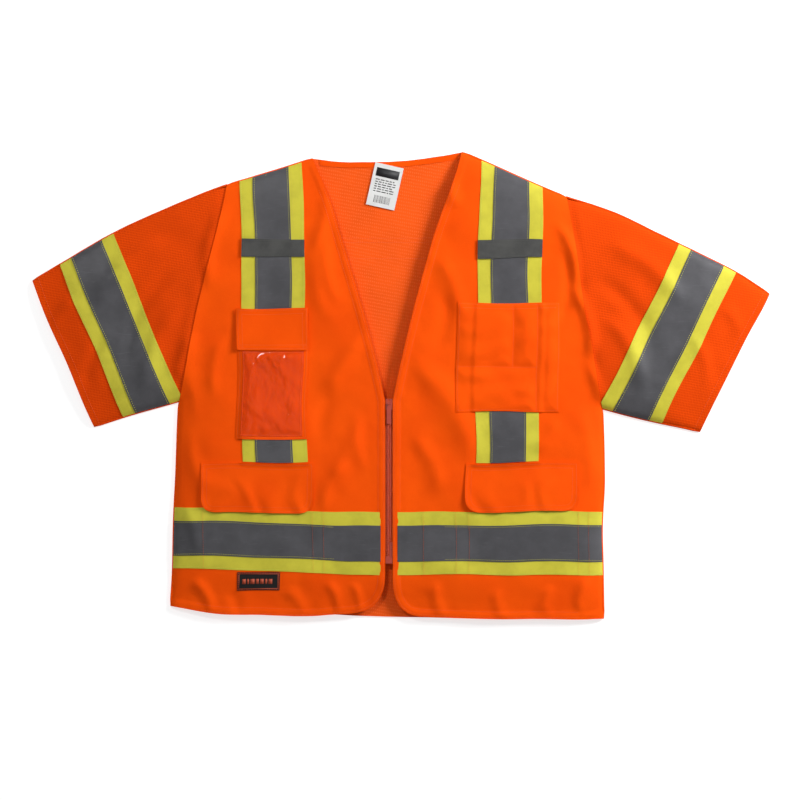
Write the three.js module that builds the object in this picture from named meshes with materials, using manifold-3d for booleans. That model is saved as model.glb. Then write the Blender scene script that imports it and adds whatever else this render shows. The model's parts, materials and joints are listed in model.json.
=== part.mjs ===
// High visibility work vest with short sleeves, two-tone tape, pockets and a separating zip.
// Units are millimetres. The vest lies on its back: +X to the wearer's left, +Y to the neck, +Z up.
// The origin is on the zip line, at the middle of the waist tape, on the surface the vest lies on.
import * as THREE from 'three';
import { mergeVertices } from 'three/addons/utils/BufferGeometryUtils.js';
import Module from 'manifold-3d';

const wasm = await Module();
wasm.setup();

// ---- Driving dimensions ----

// Body outline, for one half, measured from the zip line and the middle of the waist tape
const neckHalf = 105;
const neckRise = 550;
const shoulderHalf = 240;
const shoulderRise = 498;
const chestHalf = 300;
const underarmRise = 197;
const hemHalf = 307;
const hemDrop = 98;
const hemSag = 6;
const backNeckDip = 10;
const bindingWidth = 8;

// Sleeves: how far the cuff stands out and where its two ends are
const sleeveReach = 522;
const cuffTopRise = 363;
const cuffBottomHalf = 430;
const cuffBottomRise = 160;
const sleeveTopBulge = 10;

// Fronts
const frontEdgeGap = 5.5;
const neckOpeningBottom = 202;
const neckOpeningBow = 14;
const frontCornerHalf = 48;
const frontCornerRise = 54;
const frontCornerLift = 4;
const foldLine = 80;
const foldGap = 0.15;

// Two-tone tape
const tapeWidth = 88.9;
const silverWidth = 50.8;
const frontTapeTop = 170;
const frontTapeBottom = 163;
const tapeAboveFlap = 2;
const waistTapeStop = 12;
const waistTapeRise = 9;
const bandFromCuff = 50;
const backTapeHalf = 165;

// Pockets, flaps and trim
const micTabRise = 416;
const micTabHeight = 25;
const idCentre = 165;
const idWidth = 100;
const idTop = 334;
const idBottom = 149;
const idFlapWidth = 101;
const idFlapHeight = 62;
const idFlapCorner = 3;
const windowWidth = 88;
const windowTop = 271;
const windowBottom = 153;
const chestPocketCentre = 169;
const chestPocketWidth = 146;
const chestPocketTop = 340;
const chestPocketBottom = 186;
const lowerFlapWidth = 158;
const lowerFlapHeight = 70;
const lowerFlapTop = 114;
const lowerFlapCentre = 187;
const lowerFlapCorner = 22;
const mouthHeight = 8;
const mouthBelowHinge = 10;
const bagInset = 2;
const patchWidth = 90;
const patchHeight = 14;
const hemLabelWidth = 58;
const hemLabelHeight = 25;
const hemLabelCentre = 184;
const careLabelWidth = 41;
const careLabelLength = 61;
const careLabelTilt = THREE.MathUtils.degToRad(12.7);
const careLabelAside = 0.7;
const careLabelDrop = 15;

// Zip
const sliderTop = 201;
const sliderLength = 12;
const sliderHalf = 4.6;
const boxBottom = -28;
const boxLength = 10;
const stopLength = 3;
const toothHalf = 2.7;
const toothGap = 0.5;
const toothHeight = 1.6;
const webHalf = 4.7;
const zipTapeHalf = 19;
const pullLength = 28;
const pullWidth = 6.4;
const pinLength = 20;
const sliderPlate = 0.9;
const boxPlate = 1;
const socketSpace = 0.15;
const socketFloor = 2;
const socketWall = 1;
const lugInner = 1.7;
const lugOuter = 2.6;
const lugHalf = 1.2;
const hingeRadius = 0.4;
const hingePinLength = 4.4;
const hingeBore = 0.6;
const hingeLift = 1.1;
const knuckleRadius = 0.95;
const knuckleHalf = 1.3;
const pullPlate = 1.2;
const pullNeck = 4;
const tabStart = 3;

// Thicknesses and the spaces between the layers
const cloth = 0.8;
const thinCloth = 0.6;
const tapeCloth = 0.5;
const silverFilm = 0.4;
const vinyl = 0.4;
const wall = 0.8;
const seamWall = 1.2;
const gap = 0.3;
const torsoSpace = 6;
const bagSpace = 5;
const pocketSpace = 4.8;
const past = 40;
const clear = 1;

// How the garment lies: the wearer's right side is moved by these, the left side by their opposites
const lie = {
  neck: [2, -4],
  shoulder: [-10, 7],
  underarm: [-2, 6],
  cuffTop: [-16, 9],
  cuffBottom: [-10, 5],
  hem: [4, 8],
  frontCorner: [6, 2],
  tape: [-3, 0],
  band: 6,
};

// Bottom of each layer, from the surface up
const backTapeZ = 0;
const backZ = backTapeZ + thinCloth + gap;
const backTop = backZ + cloth;
const bagZ = backTop + torsoSpace + gap;
const frontZ = bagZ + thinCloth + bagSpace;
const frontTop = frontZ + cloth;
const limeZ = frontTop + gap;
const silverZ = limeZ + tapeCloth + gap;
const overTapeZ = silverZ + silverFilm + gap;
const zipZ = frontZ - gap - thinCloth;

// ---- Colours and finishes ----

const finish = (color, roughness, metalness = 0) => ({ color, roughness, metalness });
const finishes = {
  orange: finish('#f2551b', 0.85),
  mesh: finish('#f4602a', 0.9),
  lime: finish('#d2cc3f', 0.8),
  silver: finish('#5a5a5c', 0.45, 0.2),
  grey: finish('#4c4c4e', 0.8),
  clear: finish('#cf4b18', 0.15),
  coil: finish('#d8432c', 0.5),
  paint: finish('#c8361f', 0.35, 0.3),
  black: finish('#15120f', 0.7),
  white: finish('#ececea', 0.75),
  hook: finish('#e0511f', 0.95),
};

// ---- Helpers ----

const vest = new THREE.Group();

/** A closed mesh as a solid that can be joined and cut. */
function solid(geometry) {
  const bare = geometry.clone();
  bare.deleteAttribute('normal');
  bare.deleteAttribute('uv');
  const merged = mergeVertices(bare, 1e-4);
  return new wasm.Manifold(new wasm.Mesh({
    numProp: 3,
    vertProperties: new Float32Array(merged.attributes.position.array),
    triVerts: new Uint32Array(merged.index.array),
  }));
}

/** The geometry of a solid. */
function geometryOf(piece) {
  const mesh = piece.getMesh();
  const geometry = new THREE.BufferGeometry();
  geometry.setAttribute('position', new THREE.BufferAttribute(new Float32Array(mesh.vertProperties), 3));
  geometry.setIndex(new THREE.BufferAttribute(new Uint32Array(mesh.triVerts), 1));
  geometry.computeVertexNormals();
  return geometry;
}

/** Adds a named piece to the vest. */
function add(name, piece, look) {
  const mesh = new THREE.Mesh(geometryOf(piece), new THREE.MeshStandardMaterial(finishes[look]));
  mesh.name = name;
  vest.add(mesh);
}

/** A flat sheet of an outline, from height z up by its thickness. */
function sheet(outline, z, thickness) {
  const settings = { depth: thickness, bevelEnabled: false, curveSegments: 8 };
  const geometry = new THREE.ExtrudeGeometry(outline, settings);
  geometry.translate(0, 0, z);
  return solid(geometry);
}

/** A box between two corners. */
function block(low, high) {
  const size = high.map((value, i) => value - low[i]);
  const geometry = new THREE.BoxGeometry(...size);
  geometry.translate(...low.map((value, i) => value + size[i] / 2));
  return solid(geometry);
}

/** A closed outline through points. */
const outlineOf = (points) => new THREE.Shape(points.map(([x, y]) => new THREE.Vector2(x, y)));

/** A rod along X. */
function rod(radius, length, y, z, sides = 12) {
  const geometry = new THREE.CylinderGeometry(radius, radius, length, sides);
  geometry.rotateZ(Math.PI / 2);
  geometry.translate(0, y, z);
  return solid(geometry);
}

/** A point of one side's outline: side is -1 for the wearer's right and 1 for the left. */
function at(side, half, rise, moved = [0, 0]) {
  return [side * (half - side * moved[0]), rise - side * moved[1]];
}

/** The named points of one side. */
function pointsOf(side) {
  return {
    neck: at(side, neckHalf, neckRise, lie.neck),
    shoulder: at(side, shoulderHalf, shoulderRise, lie.shoulder),
    underarm: at(side, chestHalf, underarmRise, lie.underarm),
    cuffTop: at(side, sleeveReach, cuffTopRise, lie.cuffTop),
    cuffBottom: at(side, cuffBottomHalf, cuffBottomRise, lie.cuffBottom),
    hem: at(side, hemHalf, -hemDrop, lie.hem),
    frontCorner: at(side, frontCornerHalf, -hemDrop - hemSag / 2, lie.frontCorner),
  };
}

const middle = (a, b) => [(a[0] + b[0]) / 2, (a[1] + b[1]) / 2];

/** The whole front of one side, from side seam to front edge, before it is parted at the fold line. */
function frontOutline(side) {
  const p = pointsOf(side);
  const edge = side * frontEdgeGap;
  const bow = middle(p.neck, [edge, neckOpeningBottom]);
  const outline = new THREE.Shape();
  outline.moveTo(...p.neck);
  outline.lineTo(...p.shoulder);
  outline.lineTo(...p.underarm);
  outline.lineTo(...p.hem);
  outline.quadraticCurveTo(side * hemHalf / 2, -hemDrop - 2 * hemSag, ...p.frontCorner);
  const cornerY = p.frontCorner[1];
  outline.quadraticCurveTo(edge, cornerY + frontCornerLift, edge, cornerY + frontCornerRise);
  outline.lineTo(edge, neckOpeningBottom);
  outline.quadraticCurveTo(bow[0] - side * neckOpeningBow, bow[1], ...p.neck);
  return outline;
}

/** The back, from hem to neck, with its neckline lowered by an amount. */
function backOutline(lowered = 0) {
  const right = pointsOf(-1);
  const left = pointsOf(1);
  const outline = new THREE.Shape();
  outline.moveTo(...right.hem);
  outline.quadraticCurveTo(0, -hemDrop - 2 * hemSag, ...left.hem);
  outline.lineTo(...left.underarm);
  outline.lineTo(...left.shoulder);
  outline.lineTo(left.neck[0], left.neck[1] - lowered);
  outline.quadraticCurveTo(0, neckRise - 2 * backNeckDip - lowered, right.neck[0], right.neck[1] - lowered);
  outline.lineTo(...right.shoulder);
  outline.lineTo(...right.underarm);
  outline.lineTo(...right.hem);
  return outline;
}

/** A slab as tall as the whole vest, for trimming pieces to an outline. */
const tall = (outline) => sheet(outline, -past, 3 * past);

/** Everything on the side-seam side of the fold line, or on the zip side of it. */
function pastFold(side, outer) {
  const line = foldLine + (outer ? foldGap : -foldGap);
  const far = outer ? chestHalf * 2 : -past;
  const xs = [side * line, side * far].sort((a, b) => a - b);
  return block([xs[0], -hemDrop * 2, -past], [xs[1], neckRise * 2, 2 * past]);
}

/** A quadrilateral strip between two centre points, of a width measured along X or along Y. */
function strip(from, to, width, alongY) {
  const half = width / 2;
  return outlineOf(alongY
    ? [[from[0], from[1] - half], [to[0], to[1] - half], [to[0], to[1] + half], [from[0], from[1] + half]]
    : [[from[0] - half, from[1]], [from[0] + half, from[1]], [to[0] + half, to[1]], [to[0] - half, to[1]]]);
}

/** A rectangle about a centre line, between two heights. */
const patch = (x, width, low, high) => strip([x, high], [x, low], width, false);

/** Centre of the front tape at a height, on one side. */
function tapeCentre(side, y) {
  const along = (y - lowerFlapTop) / (shoulderRise - lowerFlapTop);
  return at(side, frontTapeBottom + (frontTapeTop - frontTapeBottom) * along, y, lie.tape)[0];
}

// ---- Back ----

function addBack() {
  const trimmed = tall(backOutline());
  add('back_panel', sheet(backOutline(), backZ, cloth), 'mesh');
  const waist = strip([-2 * hemHalf, 0], [2 * hemHalf, 0], tapeWidth, true);
  add('back_waist_tape', sheet(waist, backTapeZ, thinCloth).intersect(trimmed), 'lime');
  for (const [side, name] of [[-1, 'back_right_tape'], [1, 'back_left_tape']]) {
    const run = patch(side * backTapeHalf, tapeWidth, tapeWidth / 2 + gap, neckRise);
    add(name, sheet(run, backTapeZ, thinCloth).intersect(trimmed), 'lime');
  }
  const between = neckHalf - bindingWidth;
  const span = block([-between, 0, 0], [between, 2 * neckRise, past]);
  const binding = sheet(backOutline(), backTop + gap, thinCloth).subtract(tall(backOutline(bindingWidth)));
  add('back_neck_binding', binding.intersect(span), 'orange');
}

/** The care label, sewn along its top edge inside the back of the neck. */
function addCareLabel() {
  const cos = Math.cos(careLabelTilt);
  const sin = Math.sin(careLabelTilt);
  const half = careLabelWidth / 2;
  const place = (across, down) => [
    careLabelAside + across * cos - down * sin,
    neckRise - careLabelDrop - across * sin - down * cos,
  ];
  const length = careLabelLength;
  const corners = [place(-half, 0), place(half, 0), place(half, length), place(-half, length)];
  add('care_label', sheet(outlineOf(corners), backTop + 2 * gap + thinCloth, thinCloth), 'white');
}

// ---- Fronts ----

/** A thin wall along a seam, between the back and the front. */
function seam(from, to) {
  const a = new THREE.Vector2(...from);
  const b = new THREE.Vector2(...to);
  const along = b.clone().sub(a).normalize();
  const across = new THREE.Vector2(along.y, -along.x).multiplyScalar(seamWall);
  const inset = along.clone().multiplyScalar(seamWall * 2);
  const corners = [a.clone().add(inset), b.clone().sub(inset)];
  const moved = corners.map((corner) => corner.clone().add(across));
  const outline = new THREE.Shape([corners[0], corners[1], moved[1], moved[0]]);
  return sheet(outline, backTop + gap, frontZ - backTop - 2 * gap);
}

function addFront(side, word) {
  const p = pointsOf(side);
  const whole = sheet(frontOutline(side), frontZ, cloth);
  const trimmed = tall(frontOutline(side));
  const x = side * lowerFlapCentre;
  const mouthTop = lowerFlapTop - mouthBelowHinge;
  const half = lowerFlapWidth / 2 - mouthBelowHinge;
  const mouth = block(
    [x - half, mouthTop - mouthHeight, frontZ - clear],
    [x + half, mouthTop, frontTop + clear],
  );
  add(`${word}_front_panel`, whole.intersect(pastFold(side, true)).subtract(mouth), 'orange');
  add(`${word}_front_edge`, whole.intersect(pastFold(side, false)), 'orange');

  add(`${word}_side_seam`, side < 0 ? seam(p.hem, p.underarm) : seam(p.underarm, p.hem), 'orange');
  add(`${word}_shoulder_seam`, side < 0 ? seam(p.shoulder, p.neck) : seam(p.neck, p.shoulder), 'orange');

  // The long tape from the shoulder to the lower pocket flap, under the chest pocket
  for (const [colour, width, z, thickness] of [
    ['lime', tapeWidth, limeZ, tapeCloth], ['silver', silverWidth, silverZ, silverFilm],
  ]) {
    const from = [tapeCentre(side, neckRise), neckRise];
    const to = [tapeCentre(side, lowerFlapTop), lowerFlapTop + tapeAboveFlap];
    const run = strip(from, to, width, false);
    add(`${word}_front_tape_${colour}`, sheet(run, z, thickness).intersect(trimmed), colour);
    const waist = sheet(waistStrip(side, width), z, thickness).intersect(trimmed);
    add(`${word}_waist_tape_${colour}`, waist.intersect(pastFold(side, true)), colour);
    add(`${word}_edge_tape_${colour}`, waist.intersect(pastFold(side, false)), colour);
  }
  const tabX = tapeCentre(side, micTabRise);
  const tab = patch(tabX, tapeWidth, micTabRise - micTabHeight / 2, micTabRise + micTabHeight / 2);
  add(`${word}_mic_tab`, sheet(tab, overTapeZ, cloth), 'grey');
}

/** The waist tape's strip on one side, which stops short of the front edge. */
function waistStrip(side, width) {
  const rise = side < 0 ? waistTapeRise : 0;
  return strip([side * waistTapeStop, 0], [side * hemHalf * 1.1, rise], width, true);
}

// ---- Pockets ----

/** A flap with rounded lower corners, hanging from its top edge. */
function flapOutline(x, top, width, height, corner) {
  const half = width / 2;
  const outline = new THREE.Shape();
  outline.moveTo(x - half, top);
  outline.lineTo(x - half, top - height + corner);
  outline.quadraticCurveTo(x - half, top - height, x - half + corner, top - height);
  outline.lineTo(x + half - corner, top - height);
  outline.quadraticCurveTo(x + half, top - height, x + half, top - height + corner);
  outline.lineTo(x + half, top);
  return outline;
}

function addLowerPocket(side, word) {
  const x = side * lowerFlapCentre;
  const bag = patch(x, lowerFlapWidth - 2 * bagInset, -hemDrop + hemSag * 2, lowerFlapTop - bagInset);
  add(`${word}_lower_pocket`, sheet(bag, bagZ, thinCloth), 'mesh');
  const patchTop = lowerFlapTop - mouthBelowHinge - mouthHeight - patchHeight;
  const loop = patch(x, patchWidth, patchTop - patchHeight, patchTop);
  const loopZ = limeZ;
  const hookZ = loopZ + silverFilm + gap;
  add(`${word}_pocket_loop`, sheet(loop, loopZ, silverFilm), 'hook');
  add(`${word}_flap_hook`, sheet(loop, hookZ, silverFilm), 'hook');
  const flap = flapOutline(x, lowerFlapTop, lowerFlapWidth, lowerFlapHeight, lowerFlapCorner);
  add(`${word}_pocket_flap`, sheet(flap, overTapeZ, cloth), 'orange');
}

/** A patch pocket: a raised front with walls at its sides and bottom, open at the top. */
function patchPocket(x, width, bottom, top, z, thickness) {
  const half = width / 2;
  const outer = block([x - half, bottom, z], [x + half, top, z + pocketSpace + thickness]);
  const inner = block(
    [x - half + wall, bottom + wall, z - clear],
    [x + half - wall, top + clear, z + pocketSpace],
  );
  return outer.subtract(inner);
}

function addIdPocket() {
  const x = -idCentre;
  add('id_pocket', sheet(patch(x, idWidth, idBottom, idTop), overTapeZ, thinCloth), 'orange');
  const windowZ = overTapeZ + thinCloth + gap;
  const window = patchPocket(x, windowWidth, windowBottom, windowTop, windowZ, vinyl);
  add('id_window', window, 'clear');
  const flapZ = windowZ + pocketSpace + vinyl + gap;
  const flap = flapOutline(x, idTop, idFlapWidth, idFlapHeight, idFlapCorner);
  add('id_pocket_flap', sheet(flap, flapZ, cloth), 'orange');
}

function addChestPocket() {
  const [low, high] = [chestPocketBottom, chestPocketTop];
  const pocket = patchPocket(chestPocketCentre, chestPocketWidth, low, high, overTapeZ, cloth);
  add('chest_pocket', pocket, 'orange');
}

function addHemLabel() {
  const top = -tapeWidth / 2 + waistTapeRise / 3 - gap;
  const label = patch(-hemLabelCentre, hemLabelWidth, top - hemLabelHeight, top);
  add('hem_label', sheet(label, limeZ, thinCloth), 'black');
}

// ---- Zip ----

/** A block on one side of the zip line. */
function sideBlock(side, inner, outer, low, high, z0, z1) {
  const xs = [side * inner, side * outer].sort((a, b) => a - b);
  return block([xs[0], low, z0], [xs[1], high, z1]);
}

function addZip() {
  const tapeTop = zipZ + thinCloth;
  const mid = zipZ + thinCloth / 2;
  const toothLow = mid - toothHeight / 2;
  const toothHigh = mid + toothHeight / 2;
  const boxTop = boxBottom + boxLength;
  const sliderBottom = sliderTop - sliderLength;
  for (const [side, word] of [[-1, 'right'], [1, 'left']]) {
    const tape = sideBlock(side, webHalf + gap, zipTapeHalf, boxBottom, neckOpeningBottom, zipZ, tapeTop);
    add(`${word}_zip_tape`, tape, 'orange');
    const low = boxTop + gap + (side > 0 ? pinLength + gap : 0);
    const high = side > 0 ? sliderBottom - gap : sliderTop;
    const teeth = sideBlock(side, toothGap, toothHalf, low, high, toothLow, toothHigh);
    const web = sideBlock(side, toothHalf - gap, webHalf, low, high, zipZ, tapeTop);
    add(`${word}_zip_teeth`, teeth.add(web), 'coil');
    const stopLow = sliderTop + gap;
    const stop = sideBlock(side, toothGap, webHalf, stopLow, stopLow + stopLength, toothLow, toothHigh);
    add(`${word}_top_stop`, stop, 'paint');
  }
  const pinLow = boxTop + gap;
  const pinHigh = pinLow + pinLength;
  const pin = sideBlock(1, toothGap, webHalf, pinLow, pinHigh, zipZ, tapeTop);
  const pinRib = sideBlock(1, toothGap, toothHalf, pinLow, pinHigh, toothLow, toothHigh);
  add('insertion_pin', pin.add(pinRib), 'paint');

  const box = block([-webHalf, boxBottom, toothLow - boxPlate], [webHalf, boxTop, toothHigh + boxPlate]);
  const socket = block(
    [toothGap, boxBottom + socketFloor, toothLow - socketSpace],
    [webHalf - socketWall, boxTop + clear, toothHigh + socketSpace],
  );
  add('retainer_box', box.subtract(socket), 'paint');

  const channelLow = toothLow - gap;
  const channelHigh = toothHigh + gap;
  const sliderLow = channelLow - sliderPlate;
  const sliderHigh = channelHigh + sliderPlate;
  const hingeY = sliderTop - sliderLength / 3;
  const hingeZ = sliderHigh + hingeLift;
  const channelHalf = toothHalf + gap;
  const body = block([-sliderHalf, sliderBottom, sliderLow], [sliderHalf, sliderTop, sliderHigh]);
  const channel = block(
    [-channelHalf, sliderBottom - clear, channelLow],
    [channelHalf, sliderTop + clear, channelHigh],
  );
  const slots = block(
    [-sliderHalf - clear, sliderBottom - clear, zipZ - gap],
    [sliderHalf + clear, sliderTop + clear, tapeTop + gap],
  );
  const divider = block(
    [-toothGap / 2, sliderBottom, channelLow - gap],
    [toothGap / 2, sliderTop, channelHigh + gap],
  );
  const lugTop = hingeZ + sliderPlate;
  const lugs = [-1, 1].map((side) => (
    sideBlock(side, lugInner, lugOuter, hingeY - lugHalf, hingeY + lugHalf, sliderHigh - gap, lugTop)
  ));
  const hingePin = rod(hingeRadius, hingePinLength, hingeY, hingeZ);
  const slider = body.subtract(channel).subtract(slots).add(divider).add(lugs[0]).add(lugs[1]).add(hingePin);
  add('zip_slider', slider, 'paint');

  const half = pullPlate / 2;
  const neck = block([-knuckleHalf, hingeY - pullNeck, hingeZ - half], [knuckleHalf, hingeY, hingeZ + half]);
  const knuckle = rod(knuckleRadius, 2 * knuckleHalf, hingeY, hingeZ);
  const tab = block(
    [-pullWidth / 2, hingeY - pullLength, hingeZ - half],
    [pullWidth / 2, hingeY - tabStart, hingeZ + half],
  );
  const bore = rod(hingeBore, 3 * knuckleHalf, hingeY, hingeZ);
  add('zip_pull', neck.add(knuckle).add(tab).subtract(bore), 'paint');
}

// ---- Sleeves ----

/** The sleeve's flat outline, drawn in by inset at its top and underarm, and run on at both ends. */
function sleeveOutline(side, inset, runOn) {
  const p = pointsOf(side);
  const vector = ([x, y]) => new THREE.Vector2(x, y);
  const beyond = (from, to, length) => vector(to).add(vector(to).sub(vector(from)).setLength(length));
  const down = new THREE.Vector2(0, -inset);
  const up = new THREE.Vector2(0, inset);
  const hinge = new THREE.Vector2(side * gap, 0);
  const shoulder = (runOn ? beyond(p.cuffTop, p.shoulder, runOn) : vector(p.shoulder).add(hinge)).add(down);
  const underarm = (runOn ? beyond(p.cuffBottom, p.underarm, runOn) : vector(p.underarm).add(hinge)).add(up);
  const cuffTop = (runOn ? beyond(p.shoulder, p.cuffTop, runOn) : vector(p.cuffTop)).add(down);
  const cuffBottom = (runOn ? beyond(p.underarm, p.cuffBottom, runOn) : vector(p.cuffBottom)).add(up);
  const bulge = shoulder.clone().add(cuffTop).multiplyScalar(0.5);
  const outline = new THREE.Shape();
  outline.moveTo(shoulder.x, shoulder.y);
  outline.quadraticCurveTo(bulge.x, bulge.y + 2 * sleeveTopBulge, cuffTop.x, cuffTop.y);
  outline.lineTo(cuffBottom.x, cuffBottom.y);
  outline.lineTo(underarm.x, underarm.y);
  outline.lineTo(shoulder.x, shoulder.y);
  return outline;
}

/** A strip across the sleeve, parallel to the cuff, between two distances from it. */
function bandOutline(side, near, far) {
  const p = pointsOf(side);
  const top = new THREE.Vector2(...p.cuffTop);
  const bottom = new THREE.Vector2(...p.cuffBottom);
  const along = bottom.clone().sub(top).normalize();
  const inward = new THREE.Vector2(-side * Math.abs(along.y), Math.abs(along.x));
  const corner = (end, reach, distance) => (
    end.clone().addScaledVector(along, reach).addScaledVector(inward, distance)
  );
  return new THREE.Shape([
    corner(top, -past * 2, near), corner(bottom, past * 2, near),
    corner(bottom, past * 2, far), corner(top, -past * 2, far),
  ]);
}

function addSleeve(side, word) {
  const outer = sleeveOutline(side, 0, 0);
  const trimmed = tall(outer);
  const tube = sheet(outer, backZ, frontTop - backZ);
  const hollow = sheet(sleeveOutline(side, wall, past), backZ + wall, frontTop - backZ - 2 * wall);
  add(`${word}_sleeve`, tube.subtract(hollow), 'mesh');
  const limeNear = bandFromCuff + side * lie.band;
  const silverNear = limeNear + (tapeWidth - silverWidth) / 2;
  const lime = bandOutline(side, limeNear, limeNear + tapeWidth);
  const silver = bandOutline(side, silverNear, silverNear + silverWidth);
  add(`${word}_sleeve_tape_lime`, sheet(lime, limeZ, tapeCloth).intersect(trimmed), 'lime');
  add(`${word}_sleeve_tape_silver`, sheet(silver, silverZ, silverFilm).intersect(trimmed), 'silver');
  add(`${word}_sleeve_tape_back`, sheet(lime, backTapeZ, thinCloth).intersect(trimmed), 'lime');
}

// ---- Assembly ----

addBack();
addCareLabel();
for (const [side, word] of [[-1, 'right'], [1, 'left']]) {
  addFront(side, word);
  addLowerPocket(side, word);
  addSleeve(side, word);
}
addIdPocket();
addChestPocket();
addHemLabel();
addZip();

export default vest;
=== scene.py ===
# %% [markdown]
# # A high visibility work vest, laid flat
# The solid model gives every piece its place and size. This script dresses it: each flat plate becomes
# cloth with folds, a weave and stitching. Everything is in metres, in the same frame as the solid model:
# +X to the wearer's left, +Y to the neck, +Z up from the surface that the vest lies on.

# %% Load the frame
import json

import bmesh
import bpy
import numpy as np
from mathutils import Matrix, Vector, noise
from mathutils.geometry import delaunay_2d_cdt


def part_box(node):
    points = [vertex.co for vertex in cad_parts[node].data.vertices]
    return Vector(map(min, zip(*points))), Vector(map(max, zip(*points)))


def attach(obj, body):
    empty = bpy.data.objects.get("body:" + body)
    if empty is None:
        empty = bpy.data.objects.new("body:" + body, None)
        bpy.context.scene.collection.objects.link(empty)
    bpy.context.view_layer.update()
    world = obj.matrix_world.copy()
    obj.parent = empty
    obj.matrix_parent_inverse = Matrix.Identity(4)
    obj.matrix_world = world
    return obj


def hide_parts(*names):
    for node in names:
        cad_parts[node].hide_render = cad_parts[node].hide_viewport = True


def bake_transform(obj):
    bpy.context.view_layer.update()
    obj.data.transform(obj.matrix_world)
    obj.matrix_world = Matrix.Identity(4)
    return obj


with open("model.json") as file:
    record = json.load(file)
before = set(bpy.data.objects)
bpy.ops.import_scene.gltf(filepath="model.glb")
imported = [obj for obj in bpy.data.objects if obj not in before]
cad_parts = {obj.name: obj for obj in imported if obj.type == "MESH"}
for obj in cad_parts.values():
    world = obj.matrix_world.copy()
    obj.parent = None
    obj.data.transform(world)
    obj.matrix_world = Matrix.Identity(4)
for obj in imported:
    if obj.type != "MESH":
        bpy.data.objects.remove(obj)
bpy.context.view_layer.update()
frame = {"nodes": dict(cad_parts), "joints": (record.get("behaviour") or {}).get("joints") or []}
mm = 0.001
scene = bpy.context.scene

# %% [markdown]
# ## The camera, the floor and the light
# The vest is seen from straight above. A long lens a few metres up keeps the edges from leaning outwards.
# The floor is plain and pale. Two broad lamps shade the folds, and a small one adds bright glints.

# %% Camera
view_width = 1.130
eye_height = 4.0
view_centre = Vector((0.0155, 0.2028, 0.012))
lens = bpy.data.cameras.new("camera")
lens.sensor_width = 36
lens.lens = lens.sensor_width * eye_height / view_width
lens.clip_end = 40
camera = bpy.data.objects.new("camera", lens)
camera.location = view_centre + Vector((0, 0, eye_height))
scene.collection.objects.link(camera)
scene.camera = camera
print("lens", round(lens.lens, 1), "mm")

# %% Floor and lamps
scene.view_settings.view_transform = "Standard"
scene.view_settings.look = "None"


paper_grey = (0.55, 0.55, 0.55, 1)
white = (1, 1, 1, 1)
paper_glow = 0.66
sky_strength = 0.225


def paper_material(name):
    """White paper, lit a little from below as a light table is, so that it stays white in the shade."""
    material = bpy.data.materials.new(name)
    material.use_nodes = True
    shader = material.node_tree.nodes["Principled BSDF"]
    shader.inputs["Base Color"].default_value = paper_grey
    shader.inputs["Roughness"].default_value = 0.9
    shader.inputs["Specular IOR Level"].default_value = 0.1
    shader.inputs["Emission Color"].default_value = white
    shader.inputs["Emission Strength"].default_value = paper_glow
    return material


def flat_floor(size, z):
    mesh = bpy.data.meshes.new("floor")
    h = size / 2
    mesh.from_pydata([(-h, -h, z), (h, -h, z), (h, h, z), (-h, h, z)], [], [(0, 1, 2, 3)])
    floor = bpy.data.objects.new("floor", mesh)
    floor.data.materials.append(paper_material("floor_paper"))
    scene.collection.objects.link(floor)


def lamp(name, place, size, power, target=(0, 0.2, 0)):
    data = bpy.data.lights.new(name, "AREA")
    data.shape = "RECTANGLE"
    data.size, data.size_y = size
    data.energy = power
    item = bpy.data.objects.new(name, data)
    item.location = place
    item.rotation_euler = (Vector(target) - Vector(place)).to_track_quat("-Z", "Y").to_euler()
    scene.collection.objects.link(item)


floor_size = 12
floor_level = -0.2 * mm
flat_floor(floor_size, floor_level)
lamp("key", (1.75, 1.2, 1.0), (0.68, 0.68), 60)
lamp("glint", (-0.75, 1.35, 1.9), (0.28, 0.28), 15)
lamp("top", (0.5, 0.3, 3.2), (3.0, 3.0), 8)
world = bpy.data.worlds.new("world")
world.use_nodes = True
world.node_tree.nodes["Background"].inputs["Color"].default_value = white
world.node_tree.nodes["Background"].inputs["Strength"].default_value = sky_strength
scene.world = world
print("3 lamps")

# %% [markdown]
# ## Reading outlines off the solid model
# Each flat plate holds the outline of its cloth in its top face. The edges that only one top face uses are
# the outline, and walking along them gives it as a loop. Working from the plates means that a changed size
# in the solid model changes the cloth too.

# %% Outlines


def loops_of(node):
    """The loops round a plate's top face, the longest first, each anticlockwise, in metres."""
    work = bmesh.new()
    work.from_mesh(frame["nodes"][node].data)
    bmesh.ops.remove_doubles(work, verts=work.verts, dist=1e-6)
    top = max(v.co.z for v in work.verts)
    flat = {f for f in work.faces if all(v.co.z > top - 1e-5 for v in f.verts)}
    follows = {}
    for f in flat:
        for c in f.loops:
            if not any(g in flat for g in c.edge.link_faces if g is not f):
                follows[c.vert.index] = c.link_loop_next.vert.index
    places = [(v.co.x, v.co.y) for v in work.verts]
    work.free()
    found = []
    while follows:
        start = next(iter(follows))
        loop, here = [], start
        while here in follows:
            loop.append(places[here])
            here = follows.pop(here)
        found.append(np.array(loop))
    return sorted(found, key=lambda loop: -abs(area_of(loop)))


def area_of(loop):
    x, y = np.asarray(loop).T
    return float(np.sum(x * np.roll(y, -1) - y * np.roll(x, -1)) / 2)


def inside(points, loop):
    """Which points lie inside a loop."""
    x, y = points[:, :1], points[:, 1:]
    ax, ay = loop.T
    bx, by = np.roll(loop, -1, 0).T
    crosses = (ay > y) != (by > y)
    at = ax + (y - ay) * (bx - ax) / np.where(by == ay, 1e-12, by - ay)
    return (np.sum(crosses & (x < at), 1) % 2) == 1


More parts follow.
